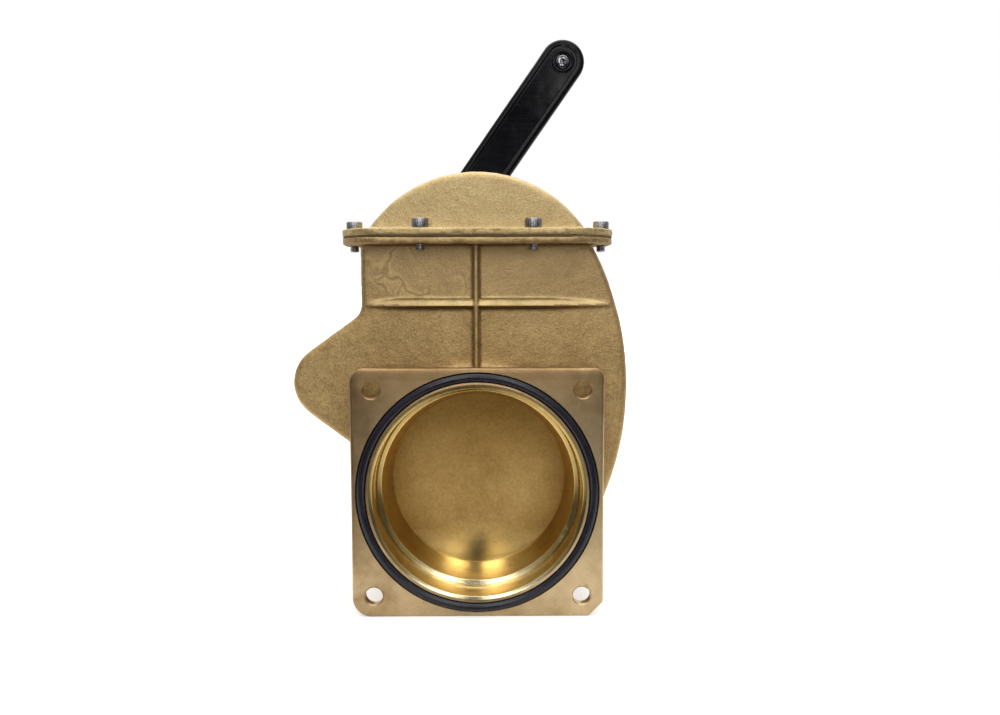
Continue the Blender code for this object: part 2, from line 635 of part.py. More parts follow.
# ---------------------------------------------------------------- lever
# Bar and grip are made lying along +X from the shaft, then turned to the closed angle.
BAR_START, BEND_START, BEND_END = -9.5, 27.0, 45.0
BAR_END = LEVER_LEN + 6.0
GRIP_START, GRIP_W, GRIP_T = 62.0, 25.0, 9.0
GRIP_CORNER_R, GRIP_EDGE_R = 3.0, 2.6
GRIP_SCREW_R, GRIP_SCREW_HEAD_R = 2.0, 4.4
GRIP_SCREW_AT = from_shaft(LEVER_LEN, LEVER_ANGLE)


def lay_at_lever(obj):
    to_pivot = Matrix.Translation((PIVOT_X * MM, 0.0, PIVOT_Z * MM))
    from_pivot = Matrix.Translation((-PIVOT_X * MM, 0.0, -PIVOT_Z * MM))
    obj.data.transform(to_pivot @ Matrix.Rotation(-LEVER_ANGLE, 4, "Y") @ from_pivot)
    return obj


def make_lever_bar():
    # distance from the shaft, Y of the front face; the bend takes the bar to the rear
    front = [(BAR_START, LEVER_Y0), (BEND_START, LEVER_Y0), (BEND_END, OUTER_Y0),
             (BAR_END, OUTER_Y0)]
    side_view = front + [(x, y + LEVER_T) for x, y in reversed(front)]
    bar = lay_at_lever(plate("lever_bar", [(PIVOT_X + x, y) for x, y in side_view],
                             PIVOT_Z - LEVER_W / 2, PIVOT_Z + LEVER_W / 2,
                             look=STEEL, flat="XY"))
    join(bar, cylinder("lever_eye", 15.0, LEVER_Y0, LEVER_Y1, PIVOT, 24))
    half = SQUARE_HALF + CLEARANCE
    cut(bar, shaft_box("lever_square_hole", (-half, 66.0, -half), (half, 78.0, half),
                       turn=LEVER_ANGLE))
    cut(bar, cylinder("bar_screw_hole", GRIP_SCREW_R + CLEARANCE, GRIP_Y - 8.0, GRIP_Y + 8.0,
                      GRIP_SCREW_AT, 20))
    on_shaft(bar)


def make_grip():
    """The sleeve over the outer part, with a round end."""
    half = GRIP_W / 2
    corner_x, corner_z = PIVOT_X + GRIP_START + GRIP_CORNER_R, half - GRIP_CORNER_R
    outline = arc(PIVOT_X + LEVER_LEN, PIVOT_Z, half, -90.0, 90.0, 12.0)
    outline += arc(corner_x, PIVOT_Z + corner_z, GRIP_CORNER_R, 90.0, 180.0, 30.0)
    outline += arc(corner_x, PIVOT_Z - corner_z, GRIP_CORNER_R, 180.0, 270.0, 30.0)
    grip = lay_at_lever(plate("lever_grip", outline, GRIP_Y - GRIP_T / 2, GRIP_Y + GRIP_T / 2,
                              GRIP_EDGE_R, BLACK))
    pocket_half = LEVER_W / 2 + CLEARANCE
    cut(grip, lay_at_lever(shaft_box(
        "grip_pocket", (GRIP_START - 5.0, OUTER_Y0 - CLEARANCE, -pocket_half),
        (BAR_END + CLEARANCE, OUTER_Y1 + CLEARANCE, pocket_half))))
    cut(grip, cylinder("grip_recess", 4.9, GRIP_Y - GRIP_T, OUTER_Y0 + 0.2, GRIP_SCREW_AT, 24))
    on_shaft(grip)


def make_grip_screw():
    head_y = OUTER_Y0 - 0.25
    profile = [(0.0, GRIP_Y + 2.2), (GRIP_SCREW_R, GRIP_Y + 2.2), (GRIP_SCREW_R, head_y),
               (GRIP_SCREW_HEAD_R, head_y), (GRIP_SCREW_HEAD_R, OUTER_Y0 - 0.6),
               (3.2, OUTER_Y0 - 1.6), (0.0, OUTER_Y0 - 1.9)]
    on_shaft(turned("grip_screw", profile, GRIP_SCREW_AT, 20, STEEL, closed=False))


def make_lever_fastening():
    on_shaft(turned("lever_spring_washer", ring_profile(5.1, 8.6, 74.75, 76.2), PIVOT, 36, STEEL))
    nut = cylinder("lever_nut", 9.2, 76.5, 81.5, PIVOT, 6, STEEL)
    cut(nut, cylinder("nut_hole", 5.05, 74.0, 84.0, PIVOT, 24))
    on_shaft(nut)


# ---------------------------------------------------------------- build
make_body()
make_bonnet()
make_gasket()
make_bonnet_screws()
make_port_rings()
make_bearings()
make_gland()
make_shaft()
make_key()
make_gate_pins(make_gate(), make_arm())
make_lever_bar()
make_grip()
make_grip_screw()
make_lever_fastening()

# Move everything to the frame's origin; the moving pieces follow the empty
for obj in list(PARTS.objects) + list(CUTTERS.objects):
    if obj.parent is None:
        obj.location -= Vector(FOOT) * MM
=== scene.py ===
"""A cast bronze slide-gate valve, with square port flanges, a bolted bonnet and a black lever.

The valve is worked out in its own millimetres, about the centre of the front port on its sealing
face: X right, Y back through the bore, Z up. ORIGIN is that point in the frame. The lever's shaft
lies along Y, up and to the left of the bore.
"""

import math
from functools import cached_property, reduce

import bmesh
import bpy
import numpy as np
import openvdb
from mathutils import Matrix, Vector


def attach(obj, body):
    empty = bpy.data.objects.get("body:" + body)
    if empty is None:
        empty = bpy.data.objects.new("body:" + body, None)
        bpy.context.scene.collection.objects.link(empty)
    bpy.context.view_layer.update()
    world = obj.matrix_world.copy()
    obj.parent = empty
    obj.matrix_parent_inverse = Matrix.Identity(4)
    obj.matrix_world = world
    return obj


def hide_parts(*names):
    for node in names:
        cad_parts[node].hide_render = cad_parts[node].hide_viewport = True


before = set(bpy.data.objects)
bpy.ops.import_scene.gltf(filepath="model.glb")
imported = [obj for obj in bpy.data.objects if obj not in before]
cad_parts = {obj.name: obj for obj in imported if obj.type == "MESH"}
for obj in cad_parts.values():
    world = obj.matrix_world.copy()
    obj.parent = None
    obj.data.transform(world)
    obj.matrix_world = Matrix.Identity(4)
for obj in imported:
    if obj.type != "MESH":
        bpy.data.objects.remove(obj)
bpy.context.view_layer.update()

ORIGIN = Vector((0.0, -2.5, 64.5))
CASING, MOVING = "valve_casing", "gate_and_lever"
SHARP_ANGLE = math.radians(32)

# ------------------------------------------------------------------ sizes, in millimetres
# port flanges and bores
FLANGE_HALF, FLANGE_T = 64.5, 5.0
BOLT_XZ, BOLT_R = 53.5, 4.5
NECK_R, BORE_R, SEAT_R = 61.4, 53.8, 46.9
TURNED_TO_R = 56.3                      # the bright turned finish reaches out to here
GROOVE_IN, GROOVE_OUT, GROOVE_DEPTH = 57.2, 62.1, 3.4

# body, from its front face to its rear face
Y_FRONT, Y_REAR, WALL = 23.0, 61.0, 4.0
Y_MID = (Y_FRONT + Y_REAR) / 2
BODY_HALF_Y = (Y_REAR - Y_FRONT) / 2
CAVITY_HALF_Y = Y_MID - Y_FRONT - WALL
LEFT_X, TOP_Z = -61.3, 127.0

# centres and radii of the body's outline in X-Z
PIVOT_X, PIVOT_Z = -77.0, 55.0
BULGE_X, BULGE_Z, BULGE_R = -77.5, 54.43, 20.45
SWEEP_X, SWEEP_Z, SWEEP_R = -78.3, 51.6, 157.7
LOWER_R = SWEEP_R - math.hypot(SWEEP_X, SWEEP_Z)
SLOPE, FLOOR_SLOPE, FILLET_R = math.radians(35.5), math.radians(37.3), 10.0

# bonnet and the plate under it
PLATE_HALF, PLATE_R, PLATE_Y0, PLATE_Y1 = 71.9, 26.0, 9.0, 75.0
PLATE_HALF_Y = (PLATE_Y1 - PLATE_Y0) / 2
COVER_Z0, COVER_Z1 = 131.3, 135.1
DOME_R, DOME_X, DOME_Z = 69.1, -0.2, 95.8
SCREW_HOLE_R = 2.75
# (X, Y) of each bonnet screw
SCREWS = [(-67.0, 42.0), (-29.0, 14.5), (29.0, 14.5), (67.0, 42.0), (29.0, 69.5), (-29.0, 69.5)]

# gate and its arm, which runs from the pivot to the bore's axis
GATE_R, GATE_Y0, GATE_Y1 = 54.0, 35.9, 48.1
ARM_ANGLE = math.atan2(-PIVOT_Z, -PIVOT_X)
RIVET_ALONG, RIVET_ACROSS = 51.0, 7.0

# lever
LEVER_ANGLE, LEVER_LEN = math.radians(54.93), 218.6
LEVER_W, LEVER_T, LEVER_Y0 = 19.0, 5.0, 69.4
GRIP_Y, GRIP_W, GRIP_T, GRIP_X0 = 81.0, 25.0, 9.0, 62.0


# ------------------------------------------------------------------ mesh helpers
def add(name, data, material=None):
    obj = bpy.data.objects.new(name, data)
    bpy.context.scene.collection.objects.link(obj)
    if material is not None:
        data.materials.clear()
        data.materials.append(material)
    data.shade_smooth()
    return obj


def piece(obj, body, node):
    """Tells the frame which body a piece rides, which node it replaces."""
    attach(obj, body)
    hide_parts(node)


def mesh_of(name, points_mm, quads, tris):
    """A mesh from points in the valve's millimetres."""
    points = (np.asarray(points_mm, np.float64) + np.array(ORIGIN)) * 0.001
    quads = np.asarray(quads, np.int64).reshape(-1, 4)
    tris = np.asarray(tris, np.int64).reshape(-1, 3)
    data = bpy.data.meshes.new(name)
    data.vertices.add(len(points))
    data.vertices.foreach_set("co", points.astype(np.float32).ravel())
    loops = np.concatenate([quads.ravel(), tris.ravel()])
    data.loops.add(len(loops))
    data.loops.foreach_set("vertex_index", loops.astype(np.int32))
    starts = np.concatenate([np.arange(len(quads)) * 4, len(quads) * 4 + np.arange(len(tris)) * 3])
    data.polygons.add(len(starts))
    data.polygons.foreach_set("loop_start", starts.astype(np.int32))
    data.update(calc_edges=True)
    data.validate()
    return data


def face_out(data):
    """Turns every face of a closed mesh outwards."""
    shape = bmesh.new()
    shape.from_mesh(data)
    bmesh.ops.remove_doubles(shape, verts=shape.verts, dist=1e-7)
    bmesh.ops.recalc_face_normals(shape, faces=shape.faces)
    shape.to_mesh(data)
    shape.free()


def round_corners(points, radii, steps=6):
    """A closed outline with each corner rounded by its own radius."""
    rounded = []
    for i, (point, radius) in enumerate(zip(points, radii)):
        corner = Vector(point)
        back = Vector(points[i - 1]) - corner
        ahead = Vector(points[(i + 1) % len(points)]) - corner
        back_length, ahead_length = back.length, ahead.length
        back.normalize()
        ahead.normalize()
        angle = back.angle(ahead)
        trim = min(radius / math.tan(angle / 2), 0.49 * back_length, 0.49 * ahead_length)
        radius = trim * math.tan(angle / 2)
        centre = corner + (back + ahead).normalized() * (radius / math.sin(angle / 2))
        start, end = corner + back * trim - centre, corner + ahead * trim - centre
        turn = start.angle(end)
        sign = 1.0 if start.x * end.y - start.y * end.x > 0 else -1.0
        for k in range(steps + 1):
            t = sign * turn * k / steps
            rounded.append((centre.x + start.x * math.cos(t) - start.y * math.sin(t),
                            centre.y + start.x * math.sin(t) + start.y * math.cos(t)))
    return rounded


def turned(name, profile, material, at=(0.0, 0.0), sides=192, closed=True, along="Y", shape=None):
    """A profile of (radius, height) turned about Y through (X, Z), or about Z through (X, Y).
    shape(k, angles) gives a factor for the radius of point k."""
    theta = np.arange(sides) / sides * 2 * math.pi
    rows, points = [], []
    for k, (radius, height) in enumerate(profile):
        if radius < 1e-6:
            rows.append([len(points)] * sides)
            points.append((0.0, 0.0, height))
            continue
        radii = np.full(sides, float(radius))
        if shape is not None:
            radii = radii * shape(k, theta)
        rows.append(list(range(len(points), len(points) + sides)))
        heights = np.full(sides, float(height))
        points += list(zip(radii * np.cos(theta), radii * np.sin(theta), heights))
    quads, tris = [], []
    count = len(rows)
    for k in range(count if closed else count - 1):
        a, b = rows[k], rows[(k + 1) % count]
        for i in range(sides):
            j = (i + 1) % sides
            if a[i] == a[j]:
                tris.append((a[i], b[i], b[j]))
            elif b[i] == b[j]:
                tris.append((a[i], b[i], a[j]))
            else:
                quads.append((a[i], b[i], b[j], a[j]))
    p = np.array(points)
    if along == "Y":
        p = np.stack([p[:, 0] + at[0], p[:, 2], -p[:, 1] + at[1]], 1)
    else:
        p = np.stack([p[:, 0] + at[0], p[:, 1] + at[1], p[:, 2]], 1)
    data = mesh_of(name, p, quads, tris)
    face_out(data)
    obj = add(name, data, material)
    data.set_sharp_from_angle(angle=SHARP_ANGLE)
    return obj


def arc(centre_a, centre_b, radius, start, end, step=2.0):
    """Points on an arc between two angles, no more than step degrees apart."""
    count = max(1, math.ceil(abs(end - start) / step))
    angles = [math.radians(start + (end - start) * i / count) for i in range(count + 1)]
    return [(centre_a + radius * math.cos(t), centre_b + radius * math.sin(t)) for t in angles]


def plate(name, outlines, low, high, bevel, rings, material, flat="XZ"):
    """A flat outline, with any holes, given thickness and rounded edges, as a mesh."""
    curve = bpy.data.curves.new(name, "CURVE")
    curve.dimensions, curve.fill_mode = "2D", "BOTH"
    for outline in outlines:
        spline = curve.splines.new("POLY")
        spline.points.add(len(outline) - 1)
        for point, (a, b) in zip(spline.points, outline):
            point.co = (a * 0.001, b * 0.001, 0.0, 1.0)
        spline.use_cyclic_u = True
    curve.extrude = ((high - low) / 2 - bevel) * 0.001
    curve.bevel_depth, curve.bevel_resolution = bevel * 0.001, rings
    curve.offset = -bevel * 0.001
    source = bpy.data.objects.new(name + "_c", curve)
    bpy.context.scene.collection.objects.link(source)
    bpy.context.view_layer.update()
    graph = bpy.context.evaluated_depsgraph_get()
    data = bpy.data.meshes.new_from_object(source.evaluated_get(graph))
    bpy.data.objects.remove(source, do_unlink=True)
    shape = bmesh.new()
    shape.from_mesh(data)
    bmesh.ops.remove_doubles(shape, verts=shape.verts, dist=0.000004)
    middle = (low + high) / 2
    if flat == "XZ":
        place = Matrix.Translation((ORIGIN + Vector((0, middle, 0))) * 0.001)
        shape.transform(place @ Matrix.Rotation(math.radians(90), 4, "X"))
    else:
        shape.transform(Matrix.Translation((ORIGIN + Vector((0, 0, middle))) * 0.001))
    bmesh.ops.recalc_face_normals(shape, faces=shape.faces)
    clean = bpy.data.meshes.new(name)
    shape.to_mesh(clean)
    shape.free()
    obj = add(name, clean, material)
    clean.set_sharp_from_angle(angle=SHARP_ANGLE)
    return obj


def boolean(obj, other, operation="DIFFERENCE"):
    """Cuts or joins now, and removes the other object."""
    modifier = obj.modifiers.new("b", "BOOLEAN")
    modifier.operation, modifier.solver, modifier.object = operation, "EXACT", other
    bpy.context.view_layer.update()
    graph = bpy.context.evaluated_depsgraph_get()
    data = bpy.data.meshes.new_from_object(obj.evaluated_get(graph))
    obj.modifiers.clear()
    old, obj.data = obj.data, data
    data.name = obj.name
    bpy.data.meshes.remove(old)
    bpy.data.objects.remove(other, do_unlink=True)
    data.shade_smooth()
    data.set_sharp_from_angle(angle=SHARP_ANGLE)


# ------------------------------------------------------------------ distance fields
# A field is the signed distance to a surface at each point of a grid, negative inside.
def grid_axes(low, high, step):
    axes = [np.arange(lo, hi + step, step, dtype=np.float32) for lo, hi in zip(low, high)]
    return axes[0][:, None, None], axes[1][None, :, None], axes[2][None, None, :]


def distance(a, b):
    return np.sqrt(a * a + b * b)


def turned_axes(a, b, angle):
    """Coordinates along and across a direction at this angle."""
    return (a * math.cos(angle) + b * math.sin(angle),
            -a * math.sin(angle) + b * math.cos(angle))


def polygon_field(outline, x, z):
    """Signed distance to a closed outline."""
    starts = np.asarray(outline, np.float32)
    ends = np.roll(starts, -1, axis=0)
    best = np.full(np.broadcast(x, z).shape, 1e9, np.float32)
    inside = np.zeros(best.shape, bool)
    for (ax, az), (bx, bz) in zip(starts, ends):
        dx, dz = bx - ax, bz - az
        length = dx * dx + dz * dz
        if length < 1e-12:
            continue
        t = np.clip(((x - ax) * dx + (z - az) * dz) / length, 0, 1)
        best = np.minimum(best, (x - ax - t * dx) ** 2 + (z - az - t * dz) ** 2)
        if abs(dz) > 1e-12:
            inside ^= ((az > z) != (bz > z)) & (x < (bx - ax) * (z - az) / dz + ax)
    return np.where(inside, -1, 1).astype(np.float32) * np.sqrt(best)


def common(*fields):
    return reduce(np.maximum, fields)


def cut(field, tool):
    return np.maximum(field, -tool)


def soft_union(a, b, soft):
    share = np.clip(0.5 + 0.5 * (b - a) / soft, 0, 1)
    return b * (1 - share) + a * share - soft * share * (1 - share)


def soft_common(a, b, soft):
    return -soft_union(-a, -b, soft)


def slab(flat, along, half, rounding):
    """A flat shape given thickness 2 * half, with rounded edges."""
    a, b = flat + rounding, np.abs(along) - half + rounding
    outside = np.sqrt(np.maximum(a, 0) ** 2 + np.maximum(b, 0) ** 2)
    return np.minimum(np.maximum(a, b), 0) + outside - rounding


def disc(radius, size, y, middle, half):
    """A sharp disc across Y, from the distance to its axis."""
    return common(radius - size, np.abs(y - middle) - half)


def plate_rim(x, y):
    """The rounded rectangle shared by the bonnet's plate and the one under it."""
    return slab(np.abs(x) - PLATE_HALF, y - Y_MID, PLATE_HALF_Y, PLATE_R)


def lattice_noise(points, size, seed):
    """Smooth random numbers about 0, the same each run, at points in millimetres."""
    rng = np.random.default_rng(seed)
    table = rng.uniform(-1, 1, (32, 32, 32)).astype(np.float32)
    p = points / size + 1000.0
    cell = np.floor(p).astype(np.int64)
    f = p - cell
    f = f * f * (3 - 2 * f)
    total = np.zeros(len(points), np.float64)
    for dx in (0, 1):
        for dy in (0, 1):
            for dz in (0, 1):
                weight = ((f[:, 0] if dx else 1 - f[:, 0]) * (f[:, 1] if dy else 1 - f[:, 1])
                          * (f[:, 2] if dz else 1 - f[:, 2]))
                corner = ((cell[:, 0] + dx) % 32, (cell[:, 1] + dy) % 32, (cell[:, 2] + dz) % 32)
                total += weight * table[corner]
    return total


def field_mesh(name, field, origin, step, material, noise, place=None, roughness=None):
    """The surface of a field, moved along its normal by noise lines of (wavelength, amplitude,
    seed) in millimetres. roughness(points) scales that, and place(points) moves the result."""
    grid = openvdb.FloatGrid()
    grid.background = 5.0
    grid.copyFromArray(np.ascontiguousarray(field, np.float32), tolerance=0.0)
    grid.transform = openvdb.createLinearTransform(voxelSize=1.0)
    points, tris, quads = grid.convertToPolygons(isovalue=0.0, adaptivity=0.0)
    points = points.astype(np.float64) * step + np.array(origin)
    quads = quads.astype(np.int64)
    a, b, c, d = (points[quads[:, i]] for i in range(4))
    face_normal = np.cross(c - a, d - b)
    normal = np.zeros_like(points)
    for i in range(4):
        np.add.at(normal, quads[:, i], face_normal)
    normal /= np.maximum(np.linalg.norm(normal, axis=1, keepdims=True), 1e-12)
    move = sum(height * lattice_noise(points, size, seed) for size, height, seed in noise)
    if roughness is not None:
        move = move * roughness(points)
    points = points + normal * move[:, None]
    if place is not None:
        points = place(points)
    return add(name, mesh_of(name, points, quads, tris), material)


# ------------------------------------------------------------------ shader helpers
def mm(x=0.0, y=0.0, z=0.0):
    """A point of the valve in the frame, in metres."""
    return (Vector((x, y, z)) + ORIGIN) * 0.001


def shade(colour, *factors):
    """A colour times one factor, or one for each channel, held at 1."""
    if len(factors) == 1:
        factors *= 3
    return tuple(min(1.0, c * f) for c, f in zip(colour, factors))


class Kit:
    """Short ways to add shader nodes to one tree."""

    def __init__(self, tree, coordinates="Object"):
        self.tree = tree
        self.position = self.new("ShaderNodeTexCoord").outputs[coordinates]

    @cached_property
    def xyz(self):
        return self.axes(self.position)

    def new(self, kind, **settings):
        node = self.tree.nodes.new(kind)
        for key, value in settings.items():
            setattr(node, key, value)
        return node

    def link(self, source, target):
        self.tree.links.new(source, target)

    def put(self, target, value):
        """Sets a socket to a number, or links another socket to it."""
        if isinstance(value, (int, float)):
            target.default_value = value
        else:
            self.link(value, target)

    def axes(self, vector):
        node = self.new("ShaderNodeSeparateXYZ")
        self.link(vector, node.inputs[0])
        return node.outputs

    def mapping(self, scale, rotation=(0.0, 0.0, 0.0)):
        node = self.new("ShaderNodeMapping")
        node.inputs["Rotation"].default_value = rotation
        node.inputs["Scale"].default_value = scale
        self.link(self.position, node.inputs["Vector"])
        return node.outputs[0]

    def noise(self, scale, detail=4.0, rough=0.55, vector=None, distortion=0.0, output="Fac"):
        node = self.new("ShaderNodeTexNoise")
        node.inputs["Scale"].default_value = scale
        node.inputs["Detail"].default_value = detail
        node.inputs["Roughness"].default_value = rough
        node.inputs["Distortion"].default_value = distortion
        self.link(vector or self.position, node.inputs["Vector"])
        return node.outputs[output]

    def voronoi(self, scale, feature="F1", vector=None):
        node = self.new("ShaderNodeTexVoronoi", feature=feature)
        node.inputs["Scale"].default_value = scale
        self.link(vector or self.position, node.inputs["Vector"])
        return node.outputs["Distance"]

    def ramp(self, value, *stops):
        """A colour ramp with (position, colour) stops."""
        node = self.new("ShaderNodeValToRGB")
        self.link(value, node.inputs["Fac"])
        ramp = node.color_ramp
        while len(ramp.elements) < len(stops):
            ramp.elements.new(0.5)
        for element, (at, colour) in zip(ramp.elements, stops):
            element.position = at
            element.color = (*colour, 1.0)
        return node.outputs["Color"]

    def span(self, value, start, end, low=0.0, high=1.0):
        """Goes from low to high as value goes from start to end, and holds beyond them."""
        node = self.new("ShaderNodeMapRange")
        self.link(value, node.inputs["Value"])
        limits = (("From Min", start), ("From Max", end), ("To Min", low), ("To Max", high))
        for key, number in limits:
            node.inputs[key].default_value = number
        return node.outputs["Result"]

    def over(self, axis, start, end, low=0.0, high=1.0):
        """A span between two places on axis "x", "y" or "z", in the valve's millimetres."""
        start, end = (getattr(mm(**{axis: at}), axis) for at in (start, end))
        return self.span(self.xyz["xyz".index(axis)], start, end, low, high)

    def mix(self, factor, a, b, blend="MIX"):
        """Mixes two colours, each a tuple or a socket."""
        node = self.new("ShaderNodeMix", data_type="RGBA", blend_type=blend)
        self.put(node.inputs["Factor"], factor)
        for key, index, value in (("A", 6, a), ("B", 7, b)):
            if isinstance(value, tuple):
                node.inputs[index].default_value = (*value, 1.0)
            else:
                # the name may find a socket of another type, so the colour one is linked by place
                self.link(value, node.inputs[key])
                self.link(value, node.inputs[index])
        return node.outputs[2]

    def tint(self, colour, paint, value, start, end, amount=1.0):
        """Lays paint over colour, from none at start to this amount at end."""
        return self.mix(self.span(value, start, end, high=amount), colour, paint)

    def multiplied(self, colour, by):
        return self.mix(1.0, colour, by, "MULTIPLY")

    def math(self, operation, a, b=0.0):
        node = self.new("ShaderNodeMath", operation=operation)
        self.put(node.inputs[0], a)
        self.put(node.inputs[1], b)
        return node.outputs[0]

    def times(self, *values):
        return reduce(lambda a, b: self.math("MULTIPLY", a, b), values)

    def weigh(self, *parts):
        """The sum of (socket, weight) parts."""
        first = self.times(*parts[0])
        return self.math("ADD", first, self.weigh(*parts[1:])) if len(parts) > 1 else first

    def length(self, a, b):
        return self.math("SQRT", self.math("ADD", self.times(a, a), self.times(b, b)))

    def bell(self, value, sharpness):
        """1 where value is 0, falling smoothly to 0 on both sides."""
        return self.math("POWER", 2.718, self.times(value, value, -sharpness))

    def from_bore(self):
        """X and Z measured from the bore's axis."""
        centre = mm()
        return (self.math("SUBTRACT", self.xyz[0], centre.x),
                self.math("SUBTRACT", self.xyz[2], centre.z))

    def bump(self, height, strength, distance, normal=None):
        node = self.new("ShaderNodeBump")
        node.inputs["Strength"].default_value = strength
        node.inputs["Distance"].default_value = distance
        self.link(height, node.inputs["Height"])
        if normal is not None:
            self.link(normal, node.inputs["Normal"])
        return node.outputs["Normal"]

    def geometry(self, output):
        return self.new("ShaderNodeNewGeometry").outputs[output]

    def to_world(self):
        return self.new("ShaderNodeVectorTransform", vector_type="VECTOR",
                        convert_from="OBJECT", convert_to="WORLD")

    def stretch_across_lathe(self, shader, amount):
        """Stretches reflections across fine grooves that run round the port's axis."""
        out = self.new("ShaderNodeVectorMath", operation="SUBTRACT")
        self.link(self.position, out.inputs[0])
        out.inputs[1].default_value = (ORIGIN.x * 0.001, 0.0, ORIGIN.z * 0.001)
        around = self.new("ShaderNodeVectorMath", operation="CROSS_PRODUCT")
        self.link(out.outputs[0], around.inputs[0])
        around.inputs[1].default_value = (0.0, 1.0, 0.0)
        world_around = self.to_world()
        self.link(around.outputs[0], world_around.inputs[0])
        across = self.new("ShaderNodeVectorMath", operation="CROSS_PRODUCT")
        self.link(world_around.outputs[0], across.inputs[0])
        self.link(self.geometry("True Normal"), across.inputs[1])
        self.link(across.outputs[0], shader.inputs["Tangent"])
        shader.inputs["Anisotropic"].default_value = amount

    def stretch_up(self, shader, amount):
        """Stretches reflections up and down across fine level grooves."""
        up = self.to_world()
        up.inputs[0].default_value = (0.0, 0.0, 1.0)
        self.link(up.outputs[0], shader.inputs["Tangent"])
        shader.inputs["Anisotropic"].default_value = amount

    def finish(self, shader, colour, rough, normal, metal=False):
        self.link(colour, shader.inputs["Base Color"])
        self.put(shader.inputs["Roughness"], rough)
        self.link(normal, shader.inputs["Normal"])
        if metal:
            shader.inputs["Metallic"].default_value = 1.0


def new_material(name):
    material = bpy.data.materials.new(name)
    material.use_nodes = True
    tree = material.node_tree
    return material, Kit(tree), tree.nodes["Principled BSDF"]


# ------------------------------------------------------------------ materials
def flow_marks(k, colour, dark, mid, light):
    """Greyer metal towards the top, with winding marks: dark lines between pale rims."""
    grey = k.times(k.over("z", 84, 112), 0.5)
    colour = k.mix(grey, colour, shade(mid, 0.76, 0.80, 1.00))
    wander = k.noise(45.0, detail=2.0, rough=0.5, output="Color")
    shift = k.new("ShaderNodeVectorMath", operation="SCALE")
    shift.inputs["Scale"].default_value = 0.022
    k.link(wander, shift.inputs[0])
    bent = k.new("ShaderNodeVectorMath", operation="ADD")
    k.link(k.position, bent.inputs[0])
    k.link(shift.outputs[0], bent.inputs[1])
    flow = k.voronoi(62.0, "DISTANCE_TO_EDGE", bent.outputs[0])
    # strongest on the left and high up, in patches
    where = k.times(k.over("x", 4, -14, low=0.15), k.over("z", 60, 92, low=0.15),
                    k.span(k.noise(34.0, detail=2.0, rough=0.5), start=0.40, end=0.55))
    line = k.times(k.span(flow, start=0.045, end=0.010), where, 0.40)
    colour = k.mix(line, colour, shade(dark, 0.72, 0.74, 0.80))
    rim = k.times(k.span(flow, start=0.02, end=0.05), k.span(flow, start=0.12, end=0.06),
                  where, 0.35)
    return k.mix(rim, colour, shade(light, 1.12))


